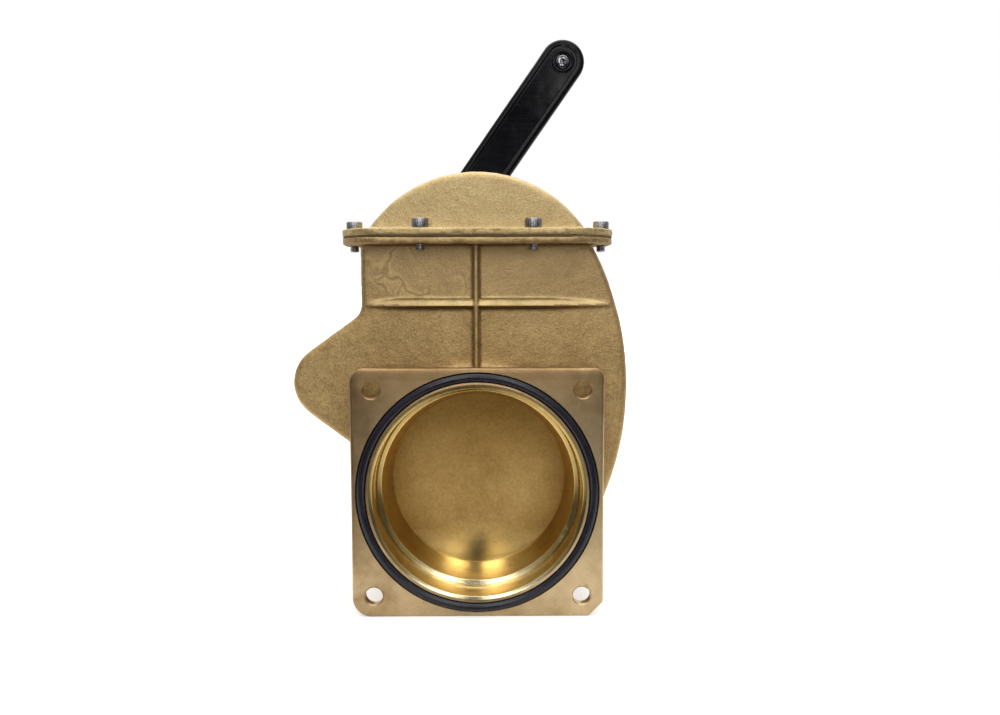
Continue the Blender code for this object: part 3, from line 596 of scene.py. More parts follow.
def cast_bronze(name, dark, mid, light, stain, rough=(0.42, 0.62), grain=1.0, edge=0.5,
                marks=False):
    """Sand-cast bronze: mottled colour at three sizes, pitted grain, bright edges, and hollows
    darkened partly by grime and partly by painted shade. The marks option adds flow marks, and a
    painted highlight band on the forward faces that look partly up."""
    material, k, shader = new_material(name)
    # dark colour for grime in hollows and for painted shade under things
    grime_and_shade = shade(dark, 0.36, 0.30, 0.20)
    broad = k.noise(34.0, detail=5.0, rough=0.62, distortion=0.6)
    patch = k.noise(170.0, detail=6.0, rough=0.68)
    fine = k.noise(720.0, rough=0.65)
    speck = k.noise(1700.0, detail=2.0, rough=0.5)
    tone = k.weigh((broad, 0.32), (patch, 0.24), (fine, 0.44))
    colour = k.ramp(tone, (0.38, dark), (0.50, mid), (0.62, light))
    # small bright and dark grains, and sand pits
    colour = k.tint(colour, shade(light, 1.30), speck, start=0.58, end=0.70, amount=0.40 * grain)
    colour = k.tint(colour, shade(dark, 0.5), speck, start=0.42, end=0.31, amount=0.55 * grain)
    pits = k.voronoi(260.0)
    colour = k.tint(colour, shade(dark, 0.45), pits, start=0.16, end=0.04, amount=0.5 * grain)
    # dark stains and pale level streaks
    spots = k.noise(78.0, detail=7.0, rough=0.74, distortion=1.6)
    colour = k.tint(colour, shade(dark, 0.66, 0.68, 0.70), spots,
                    start=0.55, end=0.72, amount=stain)
    streaks = k.noise(1.0, detail=6.0, rough=0.7, distortion=0.8,
                      vector=k.mapping(scale=(60.0, 60.0, 260.0)))
    colour = k.tint(colour, shade(light, 1.12), streaks, start=0.52, end=0.70, amount=stain * 0.6)
    if marks:
        colour = flow_marks(k, colour, dark, mid, light)
    _, facing_y, facing_z = k.axes(k.geometry("Normal"))
    if marks:
        # painted highlight: a pale gold band on the level rib's forward faces that look partly up
        band = k.times(k.over("z", 90, 93), k.over("z", 104, 100))
        patches = k.noise(60.0, detail=3.0, rough=0.6)
        painted_rib_highlight = k.times(k.span(facing_z, start=0.16, end=0.36),
                         k.span(facing_y, start=-0.55, end=-0.80), band,
                         k.span(patches, start=0.36, end=0.56, low=0.25, high=0.55))
        colour = k.mix(painted_rib_highlight, colour, (1.0, 0.80, 0.42))
    # old sealant and dirt along the joint between the two plates
    joint = k.times(k.over("z", 126.6, 127.8), k.over("z", 135.2, 134.4))
    blotches = k.noise(95.0, detail=6.0, rough=0.72, distortion=1.2)
    blotch = k.times(k.span(blotches, start=0.50, end=0.60, high=0.62),
                     k.over("x", -30, 12, low=0.45))
    from_joint = k.math("ABSOLUTE", k.math("SUBTRACT", k.xyz[2], mm(z=130.95).z))
    near = k.span(from_joint, start=0.0019, end=0.0004, high=0.45)
    colour = k.mix(k.times(joint, k.math("MAXIMUM", blotch, near)), colour,
                   shade(dark, 0.40, 0.34, 0.26))
    # painted shade: faces that look down are darkened, from part way up the body
    under = k.times(k.span(facing_z, start=-0.08, end=-0.50, high=0.78), k.over("z", 80, 90))
    colour = k.mix(under, colour, grime_and_shade)
    # edges brightened by wear, and hollows darkened, partly by grime and partly by painted shade
    point = k.geometry("Pointiness")
    colour = k.tint(colour, shade(light, 1.25), point, start=0.515, end=0.57, amount=edge)
    colour = k.tint(colour, grime_and_shade, point, start=0.485, end=0.45, amount=0.75)
    # partly grime and partly painted shade: ambient occlusion darkens creases and the body under
    # the plate
    occlusion_shade = k.new("ShaderNodeAmbientOcclusion", samples=6)
    occlusion_shade.inputs["Distance"].default_value = 0.0045
    colour = k.tint(colour, shade(dark, 0.34, 0.28, 0.18), occlusion_shade.outputs["AO"],
                    start=0.72, end=0.30, amount=0.75)
    roughness = k.span(k.weigh((patch, 0.5), (fine, 0.5)), 0.3, 0.7, *rough)
    sand = k.weigh((k.noise(1100.0, rough=0.7), 0.6), (k.voronoi(900.0), 0.5))
    normal = k.bump(sand, strength=0.55 * grain, distance=0.00028)
    ripple = k.noise(300.0, detail=5.0, rough=0.65)
    normal = k.bump(ripple, strength=0.22, distance=0.0007, normal=normal)
    k.finish(shader, colour, roughness, normal, metal=True)
    return material


def machined_bronze(name, dark, mid, light, rough, rings, tarnish, streak, painted_flange_shade=0.0, brushed=0.0):
    """Turned or faced bronze: fine tool rings about the port's axis and a soft tarnish."""
    material, k, shader = new_material(name)
    dx, dz = k.from_bore()
    radius = k.length(dx, dz)
    broad = k.noise(30.0, detail=5.0, rough=0.6, distortion=0.5)
    patch = k.noise(120.0, detail=5.0, rough=0.62)
    tone = k.weigh((broad, 0.6), (patch, 0.4))
    colour = k.ramp(tone, (0.36, dark), (0.5, mid), (0.64, light))
    # noise in one dimension, over radius and depth together
    vector = k.new("ShaderNodeCombineXYZ")
    k.link(k.weigh((radius, rings), (k.xyz[1], rings * 0.9)), vector.inputs[0])
    lines = k.noise(1.0, detail=2.0, rough=0.5, vector=vector.outputs[0])
    colour = k.tint(colour, shade(dark, 0.62), lines, start=0.35, end=0.65, amount=streak)
    spots = k.noise(210.0, detail=6.0, rough=0.7)
    colour = k.tint(colour, shade(dark, 0.55, 0.48, 0.42), spots,
                    start=0.58, end=0.74, amount=tarnish)
    if brushed:
        # colour by height stands in for what the bore would mirror in a real room
        deep = k.multiplied(colour, (0.95, 0.85, 0.62))
        dull = k.multiplied(colour, (0.78, 0.71, 0.56))
        pale = k.multiplied(colour, (0.98, 1.06, 1.30))
        side = k.times(k.span(dz, start=0.016, end=-0.006), k.span(dz, start=-0.046, end=-0.036))
        colour = k.mix(k.span(dz, start=-0.036, end=-0.046), k.mix(side, deep, dull), pale)
    if painted_flange_shade:
        # painted shade: darker towards the upper left, brighter low down and to the right, as the
        # light falls
        uneven = k.math("SUBTRACT", patch, 0.5)
        high = k.weigh((dz, 0.85), (dx, -0.58), (uneven, 0.16))
        brown = k.multiplied(colour, (0.56, 0.49, 0.42))
        colour = k.tint(colour, brown, high, start=-0.035, end=0.040, amount=painted_flange_shade)
    colour = k.tint(colour, shade(light, 1.12), k.geometry("Pointiness"),
                    start=0.52, end=0.60, amount=0.5)
    roughness = k.span(k.weigh((patch, 0.6), (lines, 0.4)), 0.3, 0.7, *rough)
    if brushed:
        k.stretch_across_lathe(shader, brushed)
    normal = k.bump(lines, strength=0.10, distance=0.00008)
    grain = k.noise(1700.0, detail=3.0, rough=0.6)
    normal = k.bump(grain, strength=0.10, distance=0.0001, normal=normal)
    k.finish(shader, colour, roughness, normal, metal=True)
    return material


def gate_bronze(name):
    """The gate's faced surface: a fine mottle, with painted shade towards the rim and the top and
    a painted reflection in paler gold low down.
    """
    material, k, shader = new_material(name)
    dx, dz = k.from_bore()
    radius = k.length(dx, dz)
    broad = k.noise(24.0, detail=5.0, rough=0.6, distortion=0.4)
    patch = k.noise(120.0, detail=6.0, rough=0.68)
    fine = k.noise(620.0, rough=0.65)
    tone = k.weigh((broad, 0.36), (patch, 0.30), (fine, 0.34))
    colour = k.ramp(tone, (0.38, (0.38, 0.235, 0.075)), (0.50, (0.50, 0.325, 0.115)),
                    (0.62, (0.60, 0.415, 0.168)))
    stains = k.noise(150.0, detail=7.0, rough=0.72, distortion=0.8)
    colour = k.tint(colour, (0.42, 0.26, 0.08), stains, start=0.56, end=0.72, amount=0.35)
    # painted shade towards the rim and the top, held back low down
    painted_gate_shade = k.multiplied(colour, (0.64, 0.57, 0.43))
    edge = k.math("MAXIMUM", k.span(radius, start=0.028, end=0.046, high=0.85),
                  k.span(dz, start=-0.006, end=0.036))
    low = k.span(dz, start=-0.028, end=-0.042)
    edge = k.times(edge, k.math("SUBTRACT", 1.0, k.times(low, 0.8)))
    colour = k.mix(edge, colour, painted_gate_shade)
    # painted reflection: paler gold low on the gate
    colour = k.mix(k.times(low, 0.8), colour, (0.70, 0.50, 0.20))
    roughness = k.times(k.span(patch, start=0.3, end=0.7, low=0.26, high=0.34),
                        k.span(dz, start=-0.022, end=-0.042, low=1.75, high=0.55))
    # level tool marks, which stretch reflections more towards the foot of the gate
    k.stretch_up(shader, amount=0.7)
    stretch = k.span(dz, start=-0.022, end=-0.038, low=0.62, high=0.93)
    k.link(stretch, shader.inputs["Anisotropic"])
    normal = k.bump(k.noise(900.0, rough=0.65), strength=0.12, distance=0.0002)
    k.finish(shader, colour, roughness, normal, metal=True)
    return material


def rubber(name):
    """Smooth black rubber with a little dust."""
    material, k, shader = new_material(name)
    base = (0.0070, 0.0060, 0.0120)
    patch = k.noise(140.0, detail=5.0, rough=0.6)
    dust = k.noise(700.0, rough=0.7)
    colour = k.ramp(patch, (0.3, base), (0.7, shade(base, 1.7)))
    colour = k.tint(colour, (0.035, 0.034, 0.04), dust, start=0.56, end=0.75, amount=0.22)
    roughness = k.span(patch, start=0.3, end=0.7, low=0.19, high=0.31)
    shader.inputs["Specular IOR Level"].default_value = 0.5
    grain = k.noise(1600.0, detail=3.0, rough=0.6)
    k.finish(shader, colour, roughness, k.bump(grain, strength=0.12, distance=0.00015))
    return material


def black_sleeve(name):
    """Glossy black moulded sleeve with a faint orange peel and hairline scuffs."""
    material, k, shader = new_material(name)
    lengthwise = k.mapping(scale=(60.0, 900.0, 900.0), rotation=(0.0, LEVER_ANGLE, 0.0))
    scuffs = k.noise(1.0, detail=3.0, rough=0.6, vector=lengthwise)
    patch = k.noise(60.0, detail=5.0, rough=0.6)
    colour = k.ramp(patch, (0.3, (0.0030, 0.0030, 0.0044)), (0.7, (0.0050, 0.0050, 0.0072)))
    colour = k.tint(colour, (0.014, 0.014, 0.017), scuffs, start=0.62, end=0.78, amount=0.25)
    roughness = k.span(k.weigh((patch, 0.5), (scuffs, 0.5)),
                       start=0.3, end=0.7, low=0.11, high=0.22)
    shader.inputs["Specular IOR Level"].default_value = 0.16
    peel = k.noise(240.0, detail=3.0, rough=0.5)
    k.finish(shader, colour, roughness, k.bump(peel, strength=0.05, distance=0.0004))
    return material


def steel(name, tint, rough, grime):
    """Bare steel, with fine grime and dark hollows."""
    material, k, shader = new_material(name)
    patch = k.noise(260.0, detail=6.0, rough=0.65)
    fine = k.noise(1800.0, detail=3.0, rough=0.6)
    colour = k.ramp(patch, (0.3, shade(tint, 0.72)), (0.7, tint))
    colour = k.tint(colour, shade(tint, 0.35), fine, start=0.55, end=0.72, amount=grime)
    colour = k.tint(colour, (0.03, 0.025, 0.02), k.geometry("Pointiness"),
                    start=0.49, end=0.43, amount=0.8)
    normal = k.bump(fine, strength=0.12, distance=0.00008)
    k.finish(shader, colour, k.span(patch, 0.3, 0.7, *rough), normal, metal=True)
    return material


def powder_black(name):
    """Black powder coat, paler on its edges."""
    material, k, shader = new_material(name)
    patch = k.noise(120.0, detail=5.0, rough=0.6)
    colour = k.ramp(patch, (0.3, (0.010, 0.010, 0.012)), (0.7, (0.020, 0.020, 0.023)))
    colour = k.tint(colour, (0.10, 0.10, 0.105), k.geometry("Pointiness"),
                    start=0.53, end=0.60, amount=0.5)
    roughness = k.span(patch, start=0.3, end=0.7, low=0.30, high=0.46)
    grain = k.noise(1100.0, detail=3.0, rough=0.6)
    k.finish(shader, colour, roughness, k.bump(grain, strength=0.22, distance=0.0002))
    return material


def gasket_sheet(name):
    """Dull brown fibre sheet."""
    material, k, shader = new_material(name)
    fibres = k.noise(1300.0, detail=5.0, rough=0.7)
    patch = k.noise(90.0, detail=5.0, rough=0.6)
    colour = k.ramp(patch, (0.3, (0.085, 0.055, 0.026)), (0.7, (0.17, 0.115, 0.055)))
    colour = k.tint(colour, (0.28, 0.20, 0.10), fibres, start=0.4, end=0.7, amount=0.6)
    k.finish(shader, colour, 0.9, k.bump(fibres, strength=0.5, distance=0.0002))
    return material


BODY = cast_bronze(
    "body_cast_bronze", dark=(0.392, 0.256, 0.108), mid=(0.544, 0.368, 0.160),
    light=(0.681, 0.492, 0.230), stain=0.45, marks=True)
COVER = cast_bronze(
    "cover_cast_bronze", dark=(0.503, 0.363, 0.170), mid=(0.636, 0.481, 0.244),
    light=(0.737, 0.600, 0.334), stain=0.25, rough=(0.46, 0.66), grain=1.1, edge=0.4)
FACED = machined_bronze(
    "faced_flange_bronze", dark=(0.50, 0.36, 0.19), mid=(0.66, 0.49, 0.27),
    light=(0.80, 0.62, 0.37), rough=(0.28, 0.42), rings=1600.0, tarnish=0.5, streak=0.25,
    painted_flange_shade=1.25)
TURNED = machined_bronze(
    "turned_bore_bronze", dark=(0.78, 0.58, 0.26), mid=(0.88, 0.70, 0.35),
    light=(0.94, 0.79, 0.44), rough=(0.15, 0.22), rings=1500.0, tarnish=0.22, streak=0.10,
    brushed=0.85)
GATE = gate_bronze("gate_cast_bronze")
RUBBER = rubber("nitrile_rubber")
BLACK = black_sleeve("black_sleeve_gloss")
STEEL = steel("stainless_screws", tint=(0.40, 0.395, 0.40), rough=(0.16, 0.34), grime=0.5)
DARK_STEEL = steel("bright_dome_screw", tint=(0.30, 0.30, 0.33), rough=(0.10, 0.20), grime=0.3)
POWDER = powder_black("black_lever_steel")
SHEET = gasket_sheet("fibre_gasket")


# ------------------------------------------------------------------ the cast body
def chamber_outline(inset, top):
    """Outline of the chamber in X-Z, moved in by a wall's thickness."""
    bulge, sweep, lower, left = BULGE_R - inset, SWEEP_R - inset, LOWER_R - inset, LEFT_X + inset
    # right side: the wide sweep, then the arc below the bore
    touch = math.degrees(math.atan2(-SWEEP_Z, -SWEEP_X))
    top_angle = math.degrees(math.asin((top - SWEEP_Z) / sweep))
    points = arc(SWEEP_X, SWEEP_Z, sweep, top_angle, touch, 1.5)
    # the straight floor leaves the bulge at (tx, tz) in direction (ux, uz), down to that arc
    ux, uz = math.cos(FLOOR_SLOPE), -math.sin(FLOOR_SLOPE)
    tx, tz = BULGE_X + bulge * uz, BULGE_Z - bulge * ux
    off = tx * uz - tz * ux
    run = -(tx * ux + tz * uz) - math.sqrt(lower ** 2 - off ** 2)
    meet = (tx + run * ux, tz + run * uz)
    meet_angle = math.degrees(math.atan2(meet[1], meet[0]))
    if meet_angle > touch:
        meet_angle -= 360.0
    ease = 8.0
    points += arc(0.0, 0.0, lower, touch, meet_angle + math.degrees(ease / lower), 4.0)[1:]
    # an easy curve from the arc into the floor
    start, end = points[-1], (meet[0] - ease * ux, meet[1] - ease * uz)
    for i in range(1, 9):
        t = i / 8
        points.append(tuple((1 - t) ** 2 * a + 2 * t * (1 - t) * m + t * t * b
                            for a, m, b in zip(start, meet, end)))
    # round the bulge, up the slope and through a fillet to the left side
    slope = math.degrees(SLOPE)
    points += arc(BULGE_X, BULGE_Z, bulge, -90.0 - math.degrees(FLOOR_SLOPE),
                  slope + 90.0 - 360.0, 5.0)
    radius = FILLET_R + inset
    nx, nz = -math.sin(SLOPE), math.cos(SLOPE)
    fillet_x = left - radius
    t = ((fillet_x - (BULGE_X + bulge * nx)) - radius * nx) / math.cos(SLOPE)
    fillet_z = BULGE_Z + bulge * nz + t * math.sin(SLOPE) + radius * nz
    points += arc(fillet_x, fillet_z, radius, slope - 90.0, 0.0, 6.0)
    points.append((left, top))
    return points


def cross_ribs(x, z, depth):
    """Two crossed ribs with drafted sides. depth is 0 on the face and grows outwards."""
    rib_height, level_height, level_z = 3.5, 3.7, 95.8
    half_width = 0.65 + 0.36 * np.maximum(rib_height - depth, -3.0)
    upright = common((np.abs(x + 0.65) - half_width) * 0.94, depth - rib_height)
    upright = soft_common(upright, common(58.0 - z, z - 127.8), 0.6)
    upright = soft_common(upright, depth - rib_height, 1.1)
    # the level rib tapers to a point at each end
    ends = np.clip(np.minimum((x + 58.5) / 19.0, (69.5 - x) / 32.0), 0.0, 1.0)
    height = level_height * ends ** 0.62
    full, rise = height / level_height, z - level_z
    # its face leans up, then its top and its steep underside
    level = soft_common((depth - (2.7 * full - 0.414 * rise)) * 0.924,
                        (rise - (0.8 + 2.6 * full - 0.533 * depth)) * 0.882, 0.6)
    level = soft_common(level, (-rise - (0.6 + 1.8 * full - 0.508 * depth)) * 0.891, 0.3)
    level = common(level, -59.0 - x, x - 70.0)
    return soft_union(upright, level, 0.7)


def body_casting(step=0.8):
    low, high = (-100.0, 1.0, -64.0), (82.0, 83.0, 133.0)
    x, y, z = grid_axes(low, high, step)
    flat_x, flat_z = x[:, 0, :], z[0, 0, :][None, :]
    outer = polygon_field(chamber_outline(0.0, TOP_Z + 1.0), flat_x, flat_z)[:, None, :]
    inner = polygon_field(chamber_outline(WALL, TOP_Z + 14.0), flat_x, flat_z)[:, None, :]
    field = slab(outer, y - Y_MID, BODY_HALF_Y, 3.0)
    # necks to both port flanges
    bore = distance(x, z)
    field = soft_union(field, disc(bore, NECK_R, y, Y_MID, Y_MID - 3.9), 5.0)
    # plate under the bonnet, with a generous cast fillet below it
    field = soft_union(field, slab(plate_rim(x, y), z - 128.8, 1.8, 0.55), 2.6)
    for sign, face in ((-1.0, Y_FRONT), (1.0, Y_REAR)):
        depth = sign * (y - face)
        field = soft_union(field, common(cross_ribs(x, z, depth), -depth - 2.0), 0.9)
    # boss round the gland
    pivot = distance(x - PIVOT_X, z - PIVOT_Z)
    field = soft_union(field, disc(pivot, 15.4, y, 62.0, 3.0), 2.2)
    # the chamber, with two bosses about the shaft and a block inside it
    field = cut(field, common(inner, np.abs(y - Y_MID) - CAVITY_HALF_Y))
    bosses = np.minimum(disc(pivot, 13.0, y, 28.5, 3.0), disc(pivot, 14.0, y, 55.0, 3.0))
    field = soft_union(field, bosses, 1.5)
    along, across = turned_axes(x, z, ARM_ANGLE - math.radians(90))
    block = common(np.abs(along - 58.4) - 4.0, np.abs(across) - 7.0, np.abs(y - Y_MID) - 5.8)
    field = soft_union(field, block, 0.8)
    # the bores, the shaft's sockets and the screw holes
    field = cut(field, common(bore - 58.0, 13.5 - np.abs(y - Y_MID)))
    field = cut(field, disc(pivot, 9.8, y, 32.6, 7.4))
    field = cut(field, disc(pivot, 7.3, y, 52.5, 7.5))
    field = cut(field, common(pivot - 11.0, 54.0 - y))
    for screw_x, screw_y in SCREWS:
        hole = distance(x - screw_x, y - screw_y) - SCREW_HOLE_R
        field = cut(field, common(hole, 123.0 - z))
    field = common(field, z - 130.6)

    def roughness(p):
        """None on the joint face and in the shaft's sockets, more on the plate's edge."""
        joint = np.clip((130.4 - p[:, 2]) / 0.4, 0, 1)
        from_pivot = np.hypot(p[:, 0] - PIVOT_X, p[:, 2] - PIVOT_Z)
        socket = np.clip((from_pivot - 12.0) / 3.0, 0, 1)
        edge = 1.0 + 1.3 * ((p[:, 2] > 126.6) & (p[:, 2] < 130.4))
        return joint * np.maximum(socket, (p[:, 1] < 24.0)) * edge

    obj = field_mesh("casting_body", field, low, step, BODY, roughness=roughness,
                     noise=((9.0, 0.11, 3), (3.4, 0.07, 5), (1.7, 0.035, 8)))
    piece(obj, CASING, "valve_body")


def cover_casting(step=0.7):
    low, high = (-74.5, 6.5, 130.0), (74.5, 77.5, 166.5)
    x, y, z = grid_axes(low, high, step)
    radius = distance(x - DOME_X, z - DOME_Z)
    field = slab(radius - DOME_R, y - Y_MID, BODY_HALF_Y, 3.2)
    base = slab(plate_rim(x, y), z - (COVER_Z0 + COVER_Z1) / 2, (COVER_Z1 - COVER_Z0) / 2, 0.6)
    field = soft_union(field, base, 1.8)
    field = cut(field, disc(radius, DOME_R - 3.5, y, Y_MID, CAVITY_HALF_Y))
    # a pad inside the dome, placed about the bore's centre turned round the pivot
    angle = ARM_ANGLE + math.radians(65.0)
    reach = math.hypot(PIVOT_X, PIVOT_Z)
    centre_x, centre_z = PIVOT_X + reach * math.cos(angle), PIVOT_Z + reach * math.sin(angle)
    along, across = turned_axes(x - centre_x, z - centre_z, angle + math.radians(90))
    pad = common(np.abs(along - 59.3) - 4.9, np.abs(across) - 6.0, np.abs(y - Y_MID) - 8.0)
    field = soft_union(field, common(pad, radius - 68.0), 0.8)
    for screw_x, screw_y in SCREWS:
        field = cut(field, distance(x - screw_x, y - screw_y) - SCREW_HOLE_R)
    field = common(field, COVER_Z0 - z)

    def roughness(p):
        """None on the joint face, more on the plate's edge."""
        joint = np.clip((p[:, 2] - COVER_Z0 - 0.15) / 0.5, 0, 1)
        edge = (p[:, 2] < COVER_Z1 - 0.3) & (p[:, 2] > COVER_Z0 + 0.3)
        return joint * (1.0 + 1.4 * edge)

    obj = field_mesh("casting_bonnet", field, low, step, COVER, roughness=roughness,
                     noise=((8.0, 0.11, 13), (3.1, 0.08, 15), (1.5, 0.04, 18)))
    piece(obj, CASING, "bonnet_cover")


body_casting()
cover_casting()


# ------------------------------------------------------------------ ports
# Sections are (radius, depth behind the sealing face).
SLEEVE = [(53.0, 27.3), (59.2, 27.3), (59.2, 4.4), (53.0, 4.4)]
# groove, lip and bore in one cut
BORE_CUT = [
    (0.0, -3.0), (GROOVE_OUT + 0.5, -3.0), (GROOVE_OUT + 0.5, -0.25), (GROOVE_OUT, 0.25),
    (GROOVE_OUT, GROOVE_DEPTH - 0.4), (GROOVE_OUT - 0.4, GROOVE_DEPTH),
    (GROOVE_IN + 0.4, GROOVE_DEPTH), (GROOVE_IN, GROOVE_DEPTH - 0.4), (GROOVE_IN, 0.35),
    (GROOVE_IN - 0.12, 0.16), (GROOVE_IN - 0.3, 0.05), (55.75, 0.05), (55.5, 0.09),
    (54.35, 0.50), (54.1, 0.64), (53.9, 0.92), (BORE_R, 1.35), (BORE_R, 30.0), (0.0, 30.0),
]
BOLT_CUT = [
    (0.0, -2.0), (BOLT_R + 1.0, -2.0), (BOLT_R + 1.0, -0.35), (BOLT_R + 0.5, 0.12),
    (BOLT_R, 0.55), (BOLT_R, FLANGE_T - 0.3), (BOLT_R + 0.5, FLANGE_T + 0.4),
    (BOLT_R + 0.5, FLANGE_T + 2.0), (0.0, FLANGE_T + 2.0),
]
# a narrow step, a slightly tapering bore and a thin lip at the gate, with each corner's radius
SEAT = [(SEAT_R, 35.6), (BORE_R, 35.6), (BORE_R, 15.5), (53.0, 15.5), (50.8, 16.3),
        (47.2, 34.8), (46.95, 35.1)]
SEAT_CORNERS = [0.15, 0.2, 0.15, 0.3, 0.9, 0.2, 0.2]
SEAL_R, SEAL_DEPTH, CORD_R = 59.68, 1.25, 2.28


def flange_outline():
    """Three rounded corners, and a cut flat at the lower right."""
    h = FLANGE_HALF
    return (arc(h - 6.0, h - 6.0, 6.0, 0, 90, 8)
            + arc(-h + 8.0, h - 8.0, 8.0, 90, 180, 7)
            + arc(-h + 9.6, -h + 9.6, 9.6, 180, 270, 7)
            + arc(h - 8.2, -h + 2.2, 2.2, 270, 315, 9)
            + arc(h - 2.2, -h + 8.2, 2.2, 315, 360, 9))


def port(side, sign, face):
    """A machined port flange with its bore, seat ring and face seal. face is its sealing face's
    Y. sign is 1 for the front, whose face looks to -Y, and -1 for the rear."""
    def at_face(section, order):
        return [(r, face + sign * depth) for r, depth in section][::order]

    back = face + sign * FLANGE_T
    flange = plate(f"port_flange_{side}", [flange_outline()], min(face, back), max(face, back),
                   bevel=1.35, rings=5, material=FACED)
    boolean(flange, turned("sleeve", at_face(SLEEVE, sign), None, sides=200), "UNION")
    boolean(flange, turned("cutter", at_face(BORE_CUT, -sign), None, sides=256, closed=False))
    for sx in (-1, 1):
        for sz in (-1, 1):
            boolean(flange, turned("cutter", at_face(BOLT_CUT, -sign), None,
                                   (sx * BOLT_XZ, sz * BOLT_XZ), 48, closed=False))
    # the bore and its bell mouth are turned brighter than the flange's face
    flange.data.materials.append(TURNED)
    inside = [math.hypot(v.co.x, v.co.z - ORIGIN.z * 0.001) < TURNED_TO_R * 0.001
              for v in flange.data.vertices]
    for polygon in flange.data.polygons:
        if all(inside[i] for i in polygon.vertices):
            polygon.material_index = len(flange.data.materials) - 1
    piece(flange, CASING, "valve_body")

    seat = at_face(round_corners(SEAT, SEAT_CORNERS), sign)
    ring = turned(f"seat_ring_{side}", seat, TURNED, sides=320)
    piece(ring, CASING, f"{side}_seat_ring")

    # the face seal stands a little proud of its groove
    seal_y = face + sign * SEAL_DEPTH
    cord = [(SEAL_R + CORD_R * math.cos(-a), seal_y + CORD_R * math.sin(-a))
            for a in np.linspace(0, 2 * math.pi, 29)[:-1]]
    seal = turned(f"port_seal_{side}", cord, RUBBER, sides=240)
    piece(seal, CASING, f"{side}_port_oring")


port("front", 1, 0.0)
port("rear", -1, 2 * Y_MID)


# ------------------------------------------------------------------ bonnet gasket
def gasket():
    """A thin sheet with an uneven cut edge, a window and the screw holes."""
    rng = np.random.default_rng(21)
    inset = 0.15
    half_x, half_y, radius = PLATE_HALF - inset, PLATE_HALF_Y - inset, PLATE_R - inset
    base = []
    for sx, sy, start in ((1, 1, 0), (-1, 1, 90), (-1, -1, 180), (1, -1, 270)):
        base += arc(sx * (half_x - radius), Y_MID + sy * (half_y - radius), radius,
                    start, start + 90, 7.5)
    dense = []
    for (ax, ay), (bx, by) in zip(base, base[1:] + base[:1]):
        count = max(1, int(math.hypot(bx - ax, by - ay) / 2.5))
        dense += [(ax + (bx - ax) * i / count, ay + (by - ay) * i / count) for i in range(count)]
    wobble = rng.uniform(-0.28, 0.12, len(dense))
    wobble = (wobble + np.roll(wobble, 1) + np.roll(wobble, -1)) / 3
    edge = []
    for i, (x, y) in enumerate(dense):
        (ax, ay), (bx, by) = dense[i - 1], dense[(i + 1) % len(dense)]
        tx, ty = bx - ax, by - ay
        length = math.hypot(tx, ty) or 1.0
        edge.append((x + ty / length * wobble[i], y - tx / length * wobble[i]))
    window = [(-56.0, 27.5), (55.5, 27.5), (55.5, 56.5), (-56.0, 56.5)]
    holes = [arc(x, y, 2.85, 0, 345, 15) for x, y in SCREWS]
    sheet = plate("joint_sheet", [edge, window] + holes, 130.68, 131.22,
                  bevel=0.0, rings=0, material=SHEET, flat="XY")
    piece(sheet, CASING, "bonnet_gasket")


gasket()


# ------------------------------------------------------------------ socket cap screws
def hexagon(theta, half_flats):
    """Distance from a hexagon's centre to its edge at each angle."""
    turn = (theta + math.pi / 6) % (math.pi / 3) - math.pi / 6
    return half_flats / np.cos(turn)


def unpack_runs(runs):
    """One profile, and the kind of each of its points, from runs of (kind, points)."""
    profile = [point for _, points in runs for point in points]
    kinds = [kind for kind, points in runs for _ in points]
    return profile, kinds


def cap_screw(name, at, turn):
    """A socket cap screw. turn is how far its socket is turned, in radians."""
    z0 = COVER_Z1 + 0.05
    top, head_r, knurls, knurl_depth = z0 + 5.0, 4.25, 36, 0.018
    thread = []
    z = z0 - 4.6
    thread.append((2.5, z))
    while z > 124.3:
        thread += [(2.12, z - 0.2), (2.12, z - 0.3), (2.48, z - 0.5), (2.48, z - 0.6)]
        z -= 0.8
    profile, kinds = unpack_runs([
        ("round", [(0.0, top - 2.7)]),
        ("hex", [(2.0, top - 2.5), (2.0, top - 0.35)]),
        ("round", [(2.45, top - 0.02), (head_r - 0.75, top), (head_r - 0.42, top - 0.08),
                   (head_r - 0.18, top - 0.28)]),
        ("knurl", [(head_r, top - 0.55), (head_r, z0 + 0.45)]),
        ("round", [(head_r - 0.15, z0 + 0.18), (head_r - 0.4, z0), (2.5, z0)]),
        ("round", thread + [(2.0, 123.9), (1.6, 123.7), (0.0, 123.7)]),
    ])

    def shape(k, theta):
        if kinds[k] == "hex":
            return hexagon(theta + turn, 1.0)
        if kinds[k] == "knurl":
            wave = np.cos(theta * knurls)
            return 1.0 + knurl_depth * np.sign(wave) * np.abs(wave) ** 0.5 - knurl_depth
        return np.ones_like(theta)

    screw = turned(name + "_cap", profile, STEEL, at, 144, closed=False, along="Z", shape=shape)
    piece(screw, CASING, name)


for index, spot in enumerate(SCREWS, 1):
    cap_screw(f"bonnet_screw_{index}", spot, turn=0.7 * index)


# ------------------------------------------------------------------ pieces about the shaft
PIVOT = (PIVOT_X, PIVOT_Z)


